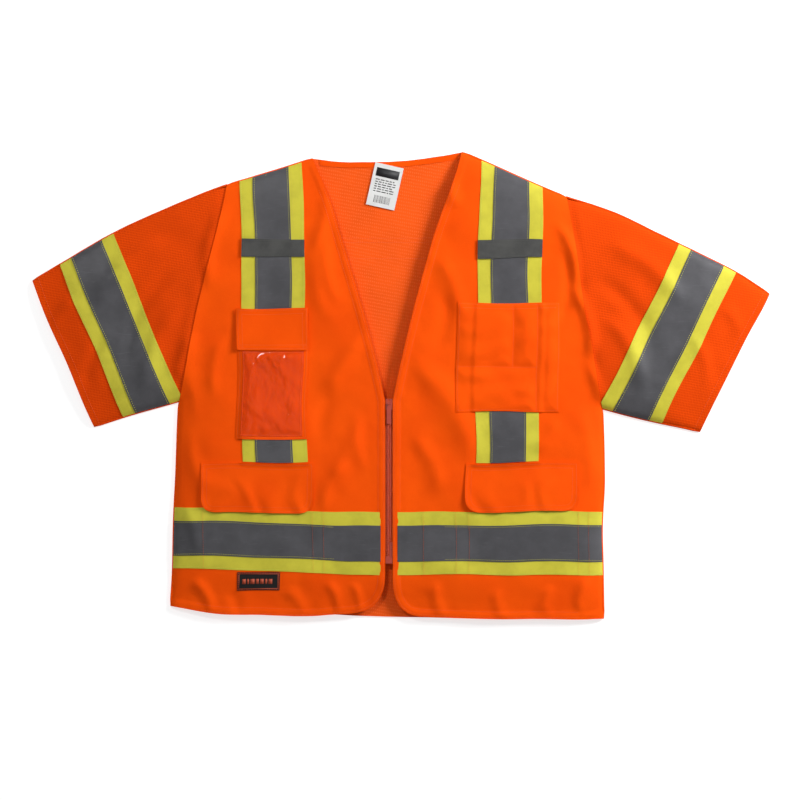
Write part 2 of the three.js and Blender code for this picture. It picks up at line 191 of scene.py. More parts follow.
def spaced(loop, step, closed=True):
    """The loop with points about a step apart."""
    loop = np.asarray(loop)
    ends = np.roll(loop, -1, 0) if closed else loop[1:]
    out = []
    for a, b in zip(loop, ends):
        n = max(1, int(np.ceil(np.linalg.norm(b - a) / step)))
        out += [a + (b - a) * i / n for i in range(n)]
    return np.array(out if closed else out + [loop[-1]])


def away(points, line):
    """How far each point is from a line of points."""
    points, line = np.atleast_2d(points), np.asarray(line)
    a, b = line[:-1], line[1:]
    d = b - a
    t = np.clip(np.einsum("ijk,jk->ij", points[:, None] - a, d) / np.maximum((d * d).sum(1), 1e-12), 0, 1)
    near = a + t[..., None] * d
    return np.linalg.norm(points[:, None] - near, axis=2).min(1)


def inset(loop, distance):
    """A loop drawn in by a distance."""
    loop = np.asarray(loop)
    along = np.roll(loop, -1, 0) - loop
    along /= np.maximum(np.linalg.norm(along, axis=1, keepdims=True), 1e-12)
    normal = np.stack([-along[:, 1], along[:, 0]], 1)
    before = np.roll(normal, 1, 0)
    both = normal + before
    scale = 2 / np.maximum((both * both).sum(1, keepdims=True), 0.5)
    return loop + both * scale * distance


plate_limit = 1.2 * mm
outlines = {}
for plate in frame["nodes"]:
    plate_low, plate_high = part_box(plate)
    if plate_high.z - plate_low.z < plate_limit:
        outlines[plate] = loops_of(plate)
print(len(outlines), "flat plates read")

# %% [markdown]
# ## The named points of the garment
# The shoulders, underarms and cuffs are corners of the plates. They say where the front and the back are
# sewn together, and so where the cloth comes down to meet the other layer.

# %% Corners and seams


def corner(loop, direction):
    """The point of a loop that is furthest in a direction."""
    return loop[np.argmax(loop @ np.array(direction))]


def side_points(word):
    s = -1 if word == "right" else 1
    front = outlines[f"{word}_front_panel"][0]
    sleeve = loops_of(f"{word}_sleeve")[0]
    return {
        "sign": s,
        "neck": front[np.argmax(front[:, 1])],
        "shoulder": corner(sleeve, (-s * 0.75, 1.0)),
        "underarm": corner(sleeve, (-s * 1.0, -0.35)),
        "cuff_top": corner(sleeve, (s * 1.0, 0.25)),
        "cuff_bottom": corner(sleeve, (s * 0.15, -1.0)),
        "hem": corner(front, (s * 1.0, -1.0)),
        "sleeve": sleeve,
    }


points = {word: side_points(word) for word in ("right", "left")}


def top_fold(word):
    """The sleeve's top edge, from the shoulder to the cuff."""
    p = points[word]
    sleeve = p["sleeve"]
    above = [v for v in sleeve if v[1] >= min(p["cuff_top"][1], p["shoulder"][1]) - 1e-4]
    return np.array(sorted(above, key=lambda v: p["sign"] * v[0]))


closed_seams = []
for word, p in points.items():
    closed_seams.append(np.array([p["neck"], p["shoulder"]]))
    closed_seams.append(top_fold(word))
    closed_seams.append(np.array([p["cuff_bottom"], p["underarm"]]))
    closed_seams.append(np.array([p["underarm"], p["hem"]]))
open_edges = []
for word, p in points.items():
    open_edges.append(np.array([p["cuff_top"], p["cuff_bottom"]]))
open_edges.append(np.array([points["right"]["hem"], points["left"]["hem"]]))
right_corners = {key: np.round(place, 3).tolist() for key, place in points["right"].items()
                 if len(np.shape(place)) == 1}
print("points of the right side:", right_corners)

# %% [markdown]
# ## How the cloth lies
# Cloth that is sewn together stays together, so one height function serves every layer of the front: the
# tapes and pockets add a small lift of their own. The front comes down to the back along the seams, stands
# a little higher in between, and carries soft folds. A fold is a ridge along a line that fades at its ends.

# %% Heights
back_low = 1.0 * mm
seam_high = 2.1 * mm
full_high = 13.6 * mm
seam_reach = 75 * mm
open_reach = 60 * mm
open_share = 0.62
zip_calm = 16 * mm

# each fold: x and y of its two ends, its width and its height, all in millimetres
folds = [
    (-256, 372, -268, 150, 11, 1.6), (-226, 490, -252, 350, 9, 2.0), (-25, 300, -86, 196, 13, 2.4),
    (-88, 440, -66, 330, 10, 1.5), (-40, 190, -30, 96, 11, 1.3), (-290, 170, -240, 60, 12, 1.4),
    (-96, 470, -80, 300, 13, 1.5), (-268, 300, -300, 226, 10, 1.8), (-60, 240, -100, 130, 12, -1.4),
    (-60, 120, -96, 40, 9, 1.3), (-284, -50, -246, -100, 8, 2.2), (-150, -62, -120, -104, 9, 1.6),
    (-92, -50, -70, -104, 7, 1.5), (-56, -52, -40, -100, 6, 1.2), (-224, -64, -212, -104, 8, -1.2),
    (-228, 300, -250, 200, 8, 1.2), (-108, 410, -96, 500, 9, 1.4), (-300, 60, -270, -20, 10, 1.2),
    (232, 462, 262, 350, 8, 2.4), (256, 372, 284, 250, 8, 2.6), (276, 270, 296, 130, 8, 2.2),
    (60, 420, 98, 300, 12, 1.6), (24, 268, 118, 116, 18, 2.5), (24, 160, 76, 62, 12, 1.5),
    (-34, 170, -74, 66, 13, 1.4),
    (100, 470, 84, 520, 9, 1.3), (76, 360, 60, 262, 11, -1.3), (246, 420, 238, 300, 9, -1.6),
    (262, 200, 284, 60, 12, 1.3), (240, 180, 200, 128, 10, 1.0), (64, -52, 78, -108, 8, 1.6),
    (150, -60, 168, -110, 8, 1.3), (230, -56, 222, -108, 9, 1.5), (286, -40, 268, -104, 8, 1.8),
    (-300, 440, -420, 330, 14, 2.4), (-290, 400, -380, 250, 11, -1.8), (-280, 350, -350, 200, 12, 1.8),
    (-330, 452, -460, 392, 10, 1.4), (-440, 350, -476, 300, 9, 1.2), (-400, 300, -430, 210, 9, -1.2),
    (300, 430, 420, 330, 14, 2.2), (290, 380, 380, 260, 12, -1.6), (300, 330, 360, 200, 12, 1.8),
    (340, 440, 470, 380, 10, 1.4), (470, 340, 500, 290, 9, 1.2), (420, 300, 452, 210, 10, 1.2),
]


fold_strength = 1.9


def smooth(t):
    t = np.clip(t, 0, 1)
    return t * t * (3 - 2 * t)


def soft_noise(at, size, seed):
    """Gentle unevenness from -1 to 1, the same every time."""
    return np.array([noise.noise(Vector((x / size, y / size, seed * 7.3))) for x, y in at])


def fold_height(at):
    total = np.zeros(len(at))
    for x1, y1, x2, y2, width, height in folds:
        a, b = np.array((x1, y1)) * mm, np.array((x2, y2)) * mm
        d = b - a
        length = np.linalg.norm(d)
        u = (at - a) @ d / length**2
        bend = 0.10 * length * np.sin(np.pi * np.clip(u, 0, 1)) * (1 if x1 * y2 > 0 else -1)
        across = (at - a) @ np.array((-d[1], d[0])) / length - bend
        ends = smooth(u / 0.3) * smooth((1 - u) / 0.3)
        total += fold_strength * height * mm * ends * np.exp(-((across / (width * mm)) ** 2))
    return total


def front_height(at):
    """The underside of the front cloth, and of the sleeves' upper layer."""
    at = np.atleast_2d(at)
    seam = np.min([away(at, line) for line in closed_seams], 0)
    t = np.clip(seam / seam_reach, 0, 1)
    rise = np.sqrt(1 - (1 - t) ** 2)
    edge = np.min([away(at, line) for line in open_edges], 0)
    rise *= open_share + (1 - open_share) * smooth(edge / open_reach)
    calm = smooth((np.abs(at[:, 0]) - zip_calm) / (30 * mm))
    near_zip = 1 - smooth((np.abs(at[:, 0]) - 22 * mm) / (60 * mm))
    low_part = smooth((at[:, 1] + 80 * mm) / (40 * mm)) * smooth((225 * mm - at[:, 1]) / (30 * mm))
    rise = rise + (1 - rise) * near_zip * low_part
    base = seam_high + (full_high - seam_high) * rise
    wrinkle = fold_height(at) + 2.2 * mm * soft_noise(at, 66 * mm, 1) + 0.8 * mm * soft_noise(at, 25 * mm, 2)
    fade = smooth(seam / (26 * mm))
    return base + wrinkle * fade * calm * (0.35 + 0.65 * rise)


def back_height(at):
    """The underside of the back cloth, and of the sleeves' lower layer."""
    at = np.atleast_2d(at)
    return back_low + 0.22 * mm * (1 + soft_noise(at, 70 * mm, 5)) * smooth(
        np.min([away(at, line) for line in closed_seams], 0) / (40 * mm))


probe = np.array([(-0.15, 0.2), (0.0, 0.1), (-0.3, 0.05)])
print("front height at three places:", np.round(front_height(probe) / mm, 1), "mm")

# %% [markdown]
# ## Finishes
# Each finish is a small node tree. The pattern coordinates are the object's own, so a weave keeps its real
# size on every piece. Broad noise gives worn and sunlit patches, fine waves give the weave, and a bump turns
# the same pattern into relief. Numbers that are the same everywhere sit on the shader's own sockets.

# %% Node helpers


class Finish:
    """A material with a Principled shader and short ways to add nodes."""

    def __init__(self, name, roughness, **fixed):
        self.material = bpy.data.materials.new(name)
        self.material.use_nodes = True
        self.tree = self.material.node_tree
        self.shader = self.tree.nodes["Principled BSDF"]
        self.shader.inputs["Roughness"].default_value = roughness
        for socket, value in fixed.items():
            self.shader.inputs[socket.replace("_", " ")].default_value = value
        self.place = self.tree.nodes.new("ShaderNodeTexCoord")

    def node(self, kind, values=(), **settings):
        item = self.tree.nodes.new("ShaderNode" + kind)
        for key, value in settings.items():
            setattr(item, key, value)
        for socket, value in dict(values).items():
            if hasattr(value, "links"):
                self.tree.links.new(value, item.inputs[socket])
            else:
                item.inputs[socket].default_value = value
        return item

    def where(self, source="Object", scale=(1, 1, 1), turn=0.0):
        return self.node("Mapping", {0: self.place.outputs[source], 2: (0, 0, turn), 3: scale}).outputs[0]

    def speckle(self, size, detail=2.0, where=None, rough=0.55):
        where = where or self.place.outputs["Object"]
        made = self.node("TexNoise", {
            "Vector": where, "Scale": 1 / size, "Detail": detail, "Roughness": rough})
        return made.outputs["Fac"]

    def wave(self, pitch, direction="X", where=None, wander=0.0):
        where = where or self.place.outputs["Object"]
        made = self.node("TexWave", {"Vector": where, "Scale": 0.3142 / pitch, "Distortion": wander},
                         bands_direction=direction)
        return made.outputs["Fac"]

    def sums(self, operation, a, b):
        return self.node("Math", {0: a, 1: b}, operation=operation).outputs[0]

    def ramp(self, value, stops):
        made = self.node("ValToRGB", {0: value})
        band = made.color_ramp
        while len(band.elements) < len(stops):
            band.elements.new(0.5)
        for element, (at, color) in zip(band.elements, stops):
            element.position = at
            element.color = (*color, 1)
        return made.outputs[0]

    def mix(self, factor, a, b):
        made = self.node("Mix", {0: factor}, data_type="RGBA")
        for socket, value in ((made.inputs[6], a), (made.inputs[7], b)):
            if hasattr(value, "links"):
                self.tree.links.new(value, socket)
            else:
                socket.default_value = (*value, 1)
        return made.outputs[2]

    def color(self, value):
        self.tree.links.new(value, self.shader.inputs["Base Color"])

    def relief(self, value, depth, strength=1.0, under=None):
        made = self.node("Bump", {"Height": value, "Distance": depth, "Strength": strength})
        if under:
            self.tree.links.new(under, made.inputs["Normal"])
        self.tree.links.new(made.outputs[0], self.shader.inputs["Normal"])
        return made.outputs[0]


def shade(color, amount):
    return tuple(c * amount for c in color)


# %% [markdown]
# ## Orange cloth and orange mesh
# The fronts are a close knitted polyester and the sleeves and back an open mesh of the same dyed yarn. The
# dye is fluorescent, so it looks brighter than a painted surface: a pure hue, with very little blue in it.
# The mesh is a lattice of small round openings, coloured rather than cut: painted shade in them on the
# sleeves, and painted light in them inside the back, where the pale table shows through.

# %% Orange finishes
orange = (0.93, 0.089, 0.0010)
deep_orange = (0.85, 0.071, 0.0006)


def woven(name, bright, deep, pitch, depth, roughness=0.8):
    finish = Finish(name, roughness, Specular_IOR_Level=0.06)
    patches = finish.speckle(70 * mm, 4)
    fine = finish.speckle(1.1 * mm, 2)
    weave = finish.sums("MULTIPLY", finish.wave(pitch, "X"), finish.wave(pitch, "Y"))
    tone = finish.sums("ADD", finish.sums("MULTIPLY", patches, 0.65), finish.sums("MULTIPLY", fine, 0.35))
    base = finish.ramp(tone, [(0.34, deep), (0.62, bright)])
    finish.color(finish.mix(finish.sums("MULTIPLY", weave, 0.20), base, shade(deep, 0.86)))
    creases = finish.relief(finish.speckle(13 * mm, 3), 0.7 * mm, 0.35)
    finish.relief(finish.sums("ADD", weave, fine), depth, 0.5, creases)
    return finish.material


def netted(name, bright, painted_shade_and_light_in_holes, pitch, opening=0.30):
    finish = Finish(name, 0.85, Specular_IOR_Level=0.06)
    where = finish.where(scale=(1.0, 0.62, 1.0), turn=0.12)
    cells = finish.node("TexVoronoi", {"Vector": where, "Scale": 1 / pitch, "Randomness": 0.16},
                        voronoi_dimensions="2D").outputs["Distance"]
    yarn = finish.ramp(cells, [(opening, (0, 0, 0)), (opening + 0.16, (1, 1, 1))])
    patches = finish.speckle(60 * mm, 4)
    base = finish.ramp(patches, [(0.35, shade(bright, 0.9)), (0.65, bright)])
    # The openings take the given hole colour: painted shade on the sleeve mesh, painted light on the inside
    # mesh.
    finish.color(finish.mix(yarn, painted_shade_and_light_in_holes, base))
    creases = finish.relief(finish.speckle(16 * mm, 3), 0.8 * mm, 0.3)
    finish.relief(yarn, 0.30 * mm, 0.35, creases)
    return finish.material


orange_cloth = woven("orange_cloth", orange, deep_orange, 0.9 * mm, 0.14 * mm)
# The second colour is painted shade in the openings, for the shaded layer below the sleeve mesh.
orange_mesh = netted("orange_mesh", (0.79, 0.066, 0.0009), (0.64, 0.046, 0.0006), 2.2 * mm)
# The second colour is painted light in the openings, for the pale table seen through the back.
inside_mesh = netted("inside_mesh", (0.90, 0.100, 0.009), (0.93, 0.142, 0.028), 3.0 * mm, 0.14)
print("orange finishes:", orange_cloth.name, orange_mesh.name, inside_mesh.name)

# %% [markdown]
# ## Lime tape and silver tape
# The lime border is a ribbed knit, and the ribs run along the tape, so its pattern follows the piece's own
# UV map. The silver is a film of tiny glass beads: dark and even from most sides, with a grainy sparkle.

# %% Tape finishes
lime = (0.610, 0.552, 0.046)


def ribbed(name, bright, deep, pitch, depth, roughness=0.7):
    finish = Finish(name, roughness, Specular_IOR_Level=0.2)
    ribs = finish.wave(pitch, "Y", finish.place.outputs["UV"])
    patches = finish.speckle(22 * mm, 4)
    base = finish.ramp(patches, [(0.32, deep), (0.60, bright)])
    finish.color(finish.mix(finish.sums("MULTIPLY", ribs, 0.22), base, shade(deep, 0.8)))
    creases = finish.relief(finish.speckle(9 * mm, 3), 0.6 * mm, 0.3)
    finish.relief(ribs, depth, 0.5, creases)
    return finish.material


def beaded(name, color):
    finish = Finish(name, 0.5, Metallic=0.1, Specular_IOR_Level=0.25)
    beads = finish.speckle(0.7 * mm, 2)
    patches = finish.speckle(34 * mm, 4)
    scuffs = finish.node("TexNoise", {"Vector": finish.where(scale=(1, 7, 1), turn=0.6), "Scale": 55,
                                      "Detail": 4.0}).outputs["Fac"]
    base = finish.ramp(patches, [(0.34, shade(color, 0.84)), (0.64, shade(color, 1.14))])
    worn_places = finish.ramp(scuffs, [(0.60, (0, 0, 0)), (0.74, (0.45, 0.45, 0.45))])
    worn = finish.mix(worn_places, base, shade(color, 1.5))
    finish.color(finish.mix(finish.sums("MULTIPLY", beads, 0.5), worn, shade(color, 0.72)))
    creases = finish.relief(finish.speckle(12 * mm, 3), 0.6 * mm, 0.22)
    finish.relief(beads, 0.06 * mm, 0.5, creases)
    return finish.material


lime_tape = ribbed("lime_tape", lime, shade(lime, 0.86), 1.1 * mm, 0.16 * mm)
silver_tape = beaded("silver_tape", (0.080, 0.079, 0.086))
grey_webbing = ribbed("grey_webbing", (0.078, 0.078, 0.074), (0.056, 0.056, 0.054), 1.6 * mm, 0.3 * mm)
print("tape finishes:", lime_tape.name, silver_tape.name, grey_webbing.name)

# %% [markdown]
# ## Small finishes
# The zip has painted metal parts, a moulded coil and a woven tape. The window is soft vinyl: a glossy,
# crinkled film that lets most of the cloth behind it through and has an orange cast of its own. The labels
# are a smooth woven black and a matt printed white.

# %% Small finishes


def plain(name, color, roughness, grain, depth, tint=0.85, **fixed):
    finish = Finish(name, roughness, **fixed)
    marks = finish.speckle(grain, 3)
    finish.color(finish.ramp(marks, [(0.35, shade(color, tint)), (0.65, color)]))
    finish.relief(marks, depth, 0.4)
    return finish.material


# The zip tape and coil keep their own pink-orange hue but are set lighter than it: painted light that lifts
# the shade of the recess between the fronts.
zip_tape = ribbed("zip_tape", (0.97, 0.200, 0.060), (0.93, 0.165, 0.045), 0.9 * mm, 0.12 * mm)
zip_coil = plain("zip_coil", (0.96, 0.170, 0.095), 0.5, 3 * mm, 0.05 * mm)
zip_metal = plain("painted_zip_metal", (0.44, 0.050, 0.026), 0.30, 5 * mm, 0.04 * mm, Coat_Weight=0.3)
black_cloth = ribbed("black_label", (0.014, 0.013, 0.013), (0.009, 0.009, 0.009), 0.7 * mm, 0.08 * mm, 0.6)
label_red = plain("label_thread", (0.42, 0.060, 0.020), 0.7, 2 * mm, 0.05 * mm)
white_cloth = ribbed("white_label", (0.74, 0.74, 0.73), (0.66, 0.66, 0.65), 0.6 * mm, 0.05 * mm, 0.6)
label_ink = plain("label_ink", (0.020, 0.020, 0.022), 0.6, 2 * mm, 0.02 * mm)
fuzzy = plain("hook_and_loop", (0.70, 0.085, 0.012), 0.95, 0.8 * mm, 0.5 * mm, 0.6, Sheen_Weight=0.5)
thread_orange = plain("orange_thread", (0.86, 0.110, 0.014), 0.6, 0.6 * mm, 0.05 * mm)
thread_grey = plain("grey_thread", (0.085, 0.085, 0.082), 0.6, 0.6 * mm, 0.05 * mm)
thread_lime = plain("lime_thread", (0.62, 0.60, 0.060), 0.6, 0.6 * mm, 0.05 * mm)
vinyl = Finish("clear_vinyl", 0.09, Specular_IOR_Level=0.0, Coat_Weight=1.0, Coat_Roughness=0.05,
               Alpha=0.34)
clouding = vinyl.speckle(26 * mm, 3)
vinyl.color(vinyl.ramp(clouding, [(0.3, (0.86, 0.074, 0.001)), (0.7, (0.97, 0.092, 0.002))]))


def crease_lines(size, turn):
    """Long thin ridges at one slant, where the vinyl has been folded."""
    slanted = vinyl.node("Mapping", {0: vinyl.where(turn=turn), 3: (0.42, 1.3, 1)}).outputs[0]
    folded = vinyl.speckle(size, 1, slanted)
    return vinyl.ramp(folded, [(0.36, (0, 0, 0)), (0.50, (1, 1, 1)), (0.64, (0, 0, 0))])


where_creased = vinyl.ramp(vinyl.speckle(34 * mm, 1), [(0.34, (0, 0, 0)), (0.46, (1, 1, 1))])
ridges = vinyl.sums("MAXIMUM", crease_lines(9 * mm, -0.47), crease_lines(12 * mm, -1.2))
creased = vinyl.relief(vinyl.sums("MULTIPLY", ridges, where_creased), 0.8 * mm, 1.0)
vinyl.relief(vinyl.speckle(24 * mm, 2), 4 * mm, 1.0, creased)
clear_vinyl = vinyl.material
print(len(bpy.data.materials), "materials")

# %% [markdown]
# ## Cutting and laying a piece of cloth
# A piece starts as its outline, filled with a fine net of triangles, because a flat plate with only a few
# corners could not bend. Each point then takes its height from the cloth below it. A second layer of points
# a thread's thickness lower, joined round the rim, makes it a closed solid.

# %% Cloth
cloth_thickness = 0.8 * mm
sway_width = 2.1 * mm
sway_size = 95 * mm


def sway(at):
    """Cloth never lies quite straight: a small sideways wander, none at the zip."""
    calm = smooth((np.abs(at[:, :1]) - 24 * mm) / (60 * mm))
    wander = np.stack([soft_noise(at, sway_size, 11), soft_noise(at, sway_size, 17)], 1)
    return at + 2 * sway_width * wander * calm


def net_of(loop, step, holes=(), rows=()):
    """Points and triangles that fill a loop, with closer rows of points where asked."""
    rims = [spaced(loop, step)] + [spaced(h, step) for h in holes]
    fixed = list(rims)
    for row in rows:
        row = spaced(row, step, False)
        ok = inside(row, loop) & (away(row, np.vstack([rims[0], rims[0][:1]])) > step * 0.2)
        fixed.append(row[ok])
    low, high = loop.min(0), loop.max(0)
    high_step = step * 0.866
    lines = [
        np.stack([np.arange(low[0] + (i % 2) * step / 2, high[0], step), np.full(1, low[1] + i * high_step)
                  .repeat(len(np.arange(low[0] + (i % 2) * step / 2, high[0], step)))], 1)
        for i in range(int((high[1] - low[1]) / high_step) + 1)
    ]
    grid = np.vstack(lines)
    grid = grid[inside(grid, loop)]
    for h in holes:
        grid = grid[~inside(grid, h)]
    taken = {}
    cell = step * 0.55
    for p in np.vstack(fixed):
        taken.setdefault((int(p[0] // cell), int(p[1] // cell)), []).append(p)

    def free(p):
        i, j = int(p[0] // cell), int(p[1] // cell)
        near = [q for a in (-1, 0, 1) for b in (-1, 0, 1) for q in taken.get((i + a, j + b), ())]
        return not any((p[0] - q[0]) ** 2 + (p[1] - q[1]) ** 2 < cell * cell for q in near)

    grid = np.array([p for p in grid if free(p)]).reshape(-1, 2)
    every = np.vstack(fixed + [grid])
    edges, start = [], 0
    for rim in rims:
        n = len(rim)
        edges += [(start + i, start + (i + 1) % n) for i in range(n)]
        start += n
    made = delaunay_2d_cdt([Vector(p) for p in every], edges, [], 0, 1e-7)
    at = np.array([tuple(v) for v in made[0]])
    faces = np.array([f for f in made[2] if len(f) == 3])
    middle = at[faces].mean(1)
    keep = inside(middle, loop)
    for h in holes:
        keep &= ~inside(middle, h)
    faces = faces[keep]
    a, b, c = at[faces[:, 0]], at[faces[:, 1]], at[faces[:, 2]]
    turn = (b - a)[:, 0] * (c - a)[:, 1] - (b - a)[:, 1] * (c - a)[:, 0]
    faces[turn < 0] = faces[turn < 0][:, ::-1]
    faces = faces[np.abs(turn) > 0.01 * step**2]
    used = np.unique(faces)
    new = np.zeros(len(at), int)
    new[used] = np.arange(len(used))
    return at[used], new[faces]


def shell(at, faces, low, thickness):
    """A thin closed solid: bottom at low, top a thickness above, sides joined."""
    n = len(at)
    here = sway(at)
    top = np.column_stack([here, low + thickness])
    bottom = np.column_stack([here, low])
    pairs = {}
    for a, b, c in faces:
        for e in ((a, b), (b, c), (c, a)):
            pairs[e] = True
    rim = [(a, b) for a, b in pairs if (b, a) not in pairs]
    sides = [(b, a, a + n, b + n) for a, b in rim]
    polygons = [tuple(f) for f in faces] + [tuple(int(v) + n for v in f[::-1]) for f in faces] + sides
    return np.vstack([top, bottom]), polygons, rim


def as_object(name, verts, polygons, material, uv=None, sharp=()):
    mesh = bpy.data.meshes.new(name)
    mesh.from_pydata([tuple(map(float, v)) for v in verts], [], [tuple(map(int, p)) for p in polygons])
    mesh.materials.append(material)
    mesh.polygons.foreach_set("use_smooth", [True] * len(mesh.polygons))
    if uv is not None:
        layer = mesh.uv_layers.new(name="UVMap")
        index = np.zeros(len(mesh.loops), int)
        mesh.loops.foreach_get("vertex_index", index)
        layer.data.foreach_set("uv", np.asarray(uv, float)[index].ravel())
    if sharp:
        marks = {frozenset((int(a), int(b))) for a, b in sharp}
        flags = [frozenset(e.vertices) in marks for e in mesh.edges]
        mesh.attributes.new("sharp_edge", "BOOLEAN", "EDGE").data.foreach_set("value", flags)
    item = bpy.data.objects.new(name, mesh)
    scene.collection.objects.link(item)
    return item


def lay(name, loop, material, height, lift, thickness=cloth_thickness, step=4 * mm, holes=(), rows=(),
        along=(1, 0), extra=None):
    """Cut a piece of cloth to a loop and lay it over the heights below it."""
    at, faces = net_of(loop, step, holes, rows)
    low = height(at) + lift
    if extra is not None:
        low = low + extra(at)
    verts, polygons, rim = shell(at, faces, low, thickness)
    n = len(at)
    u = at @ np.array(along, float)
    v = at @ np.array((-along[1], along[0]), float)
    uv = np.tile(np.column_stack([u, v]), (2, 1))
    sharp = rim + [(a + n, b + n) for a, b in rim]
    return as_object(name, verts, polygons, material, uv, sharp)


def declare(replaced):
    """Hide the solid pieces that a piece of cloth stands for."""
    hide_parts(*replaced)


print("cloth helpers are ready")

# %% [markdown]
# ## The two fronts
# Each front is one cut of cloth from the side seam to the zip. In the solid model it is two plates that meet
# at the line where an open front folds back, so their outlines are joined first. Its free edge is turned
# under and stitched, so that edge gets closer rows of points to carry the small ridge.

# %% Joining the plates at the fold line
front_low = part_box("right_front_panel")[0].z
back_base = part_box("back_panel")[0].z
joints = {joint["name"]: joint for joint in frame["joints"]}
fold_x = {word: joints[f"{word}_front_fold"]["pos_m"][0] for word in points}


def chain_from(loop, x):
    """The loop's points in order, from one end of its side on the fold line to the other."""
    on = np.abs(loop[:, 0] - x) < 0.6 * mm
    for i in range(len(loop)):
        if on[i] and on[(i + 1) % len(loop)]:
            return np.roll(loop, -(i + 1), 0)
    raise ValueError("the plate has no side on the fold line")


def join_at_fold(fixed, moving, x):
    a, b = chain_from(fixed, x), chain_from(moving, x)
    a, b = a.copy(), b[1:-1]
    a[[0, -1], 0] = x
    return np.vstack([a, b])


front_loop = {
    word: join_at_fold(outlines[f"{word}_front_panel"][0], outlines[f"{word}_front_edge"][0], fold_x[word])
    for word in points
}


def free_run(word, distance=0.0):
    """The front's free edge, from the neck down to the zip and along the hem, drawn in by a distance."""
    loop, p = front_loop[word], points[word]
    moved = inset(loop, distance) if distance else loop
    a = int(np.argmin(np.linalg.norm(loop - p["neck"], axis=1)))
    b = int(np.argmin(np.linalg.norm(loop - p["hem"], axis=1)))
    n = len(loop)
    ways = [[(a + i) % n for i in range((b - a) % n + 1)], [(a - i) % n for i in range((a - b) % n + 1)]]
    way = min(ways, key=lambda w: np.abs(loop[w][:, 0]).min())
    return moved[way]


print({word: (len(front_loop[word]), len(free_run(word))) for word in points})

# %% Baking pieces that cross the joints


def bend_front(item):
    """Cloth that crosses the fold line of a front."""
    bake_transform(item)


def bend_sleeve(item, word):
    """Cloth that crosses the armhole."""
    joint = joints[f"{word}_sleeve_fold"]
    out = Vector((joint["axis"][1], -joint["axis"][0], 0)).normalized()
    if out.x * points[word]["sign"] < 0:
        out = -out
    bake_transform(item)


def bend_flap(item):
    """A flap, sewn along its top edge, with its place baked into its points."""
    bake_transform(item)


surfaces = {}


def put(name, node, material, height, body, loop=None, extra=None, slot=None, replaced=None, **more):
    """Lay the cloth for one node and let it ride. Its lift is the node's own place among the layers."""
    node_low, node_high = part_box(node)
    base = back_base if height is back_height else front_low
    loop = outlines[node][0] if loop is None else loop
    thickness = more.pop("thickness", node_high.z - node_low.z)
    lift = more.pop("lift", node_low.z - base)
    item = lay(name, loop, material, height, lift, thickness, extra=extra, **more)
    surfaces[name] = lambda at: height(at) + lift + thickness + (extra(at) if extra else 0)
    if body:
        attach(item, body)
    declare(replaced or [node])
    return item


# %% The fronts
hem_width = 8 * mm
hem_rise = 0.9 * mm
hem_rows = (2.5 * mm, 5 * mm, 7.5 * mm, 10 * mm, 13 * mm)


def turned_hem(word):
    """The folded edge stands up a little, and its stitches draw the cloth into small puckers."""
    run = free_run(word)

    def rise(at):
        d = away(at, run)
        puckers = soft_noise(at, 11 * mm, 41) * np.exp(-((d - hem_width) / (16 * mm)) ** 2)
        return hem_rise * (1 - smooth((d - hem_width + mm) / (2.5 * mm))) + 0.4 * mm * puckers

    return rise


for word in points:
    nodes = [f"{word}_front_panel", f"{word}_front_edge"]
    front = put(f"{word}_front_cloth", nodes[0], orange_cloth, front_height, None, front_loop[word],
                holes=outlines[nodes[0]][1:], rows=[free_run(word, d) for d in hem_rows], replaced=nodes,
                extra=turned_hem(word))
    bend_front(front)
    print(front.name, len(front.data.polygons), "faces")

# %% [markdown]
# ## The back
# The back lies flat on the table with its inside upwards. It is an open mesh with a yoke seam across the
# shoulders, and its neck edge is bound with a narrow strip.

# %% The back
back = put("back_cloth", "back_panel", inside_mesh, back_height, "vest_body", step=6 * mm, slot="orange_mesh")
put("back_neck_binding_cloth", "back_neck_binding", orange_cloth, back_height, "vest_body", step=3 * mm,
    replaced=["back_neck_binding"])
print(back.name, len(back.data.polygons), "faces")

# %% [markdown]
# ## Side and shoulder seams
# Where front and back are sewn together the cloth turns over a rounded edge. A flattened round bar of cloth
# along the seam closes the gap between the layers, as the turned edge does.

# %% Rounded edges


def rounded_edge(name, line, material, body, width=3.4 * mm, height=3.6 * mm, middle=2.4 * mm, sides=10):
    """A closed bar with an oval section, along a line on the table."""
    line = spaced(line, 5 * mm, False)
    along = np.gradient(line, axis=0)
    along /= np.linalg.norm(along, axis=1, keepdims=True)
    across = np.stack([along[:, 1], -along[:, 0]], 1)
    turns = np.arange(sides) * 2 * np.pi / sides
    taper = np.minimum(1, 0.35 + 0.65 * np.minimum(np.arange(len(line)), np.arange(len(line))[::-1]) / 2)
    centre = sway(line)
    rings = []
    for c, a, t in zip(centre, across, taper):
        plan = c + a * np.cos(turns)[:, None] * width / 2 * t
        rings.append(np.column_stack([plan, middle + np.sin(turns) * height / 2 * t]))
    n = len(rings)
    verts = np.vstack(rings)
    polygons = [
        (i * sides + k, i * sides + (k + 1) % sides, (i + 1) * sides + (k + 1) % sides, (i + 1) * sides + k)
        for i in range(n - 1) for k in range(sides)
    ]
    polygons += [tuple(range(sides))[::-1], tuple((n - 1) * sides + k for k in range(sides))]
    uv = np.column_stack([np.repeat(np.arange(n) * 5 * mm, sides), np.tile(turns * width / 6, n)])
    item = as_object(name, verts, polygons, material, uv)
    fix_normals(item)
    if body:
        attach(item, body)
    return item


def fix_normals(item):
    work = bmesh.new()
    work.from_mesh(item.data)
    bmesh.ops.recalc_face_normals(work, faces=work.faces)
    work.to_mesh(item.data)
    work.free()


for word, p in points.items():
    side = rounded_edge(f"{word}_side_seam_edge", [p["underarm"], p["hem"]], orange_cloth, "vest_body")
    shoulder = rounded_edge(f"{word}_shoulder_seam_edge", [p["neck"], p["shoulder"]], orange_cloth,
                            "vest_body")
    for item, node in ((side, f"{word}_side_seam"), (shoulder, f"{word}_shoulder_seam")):
        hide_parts(node)
print("4 seams")
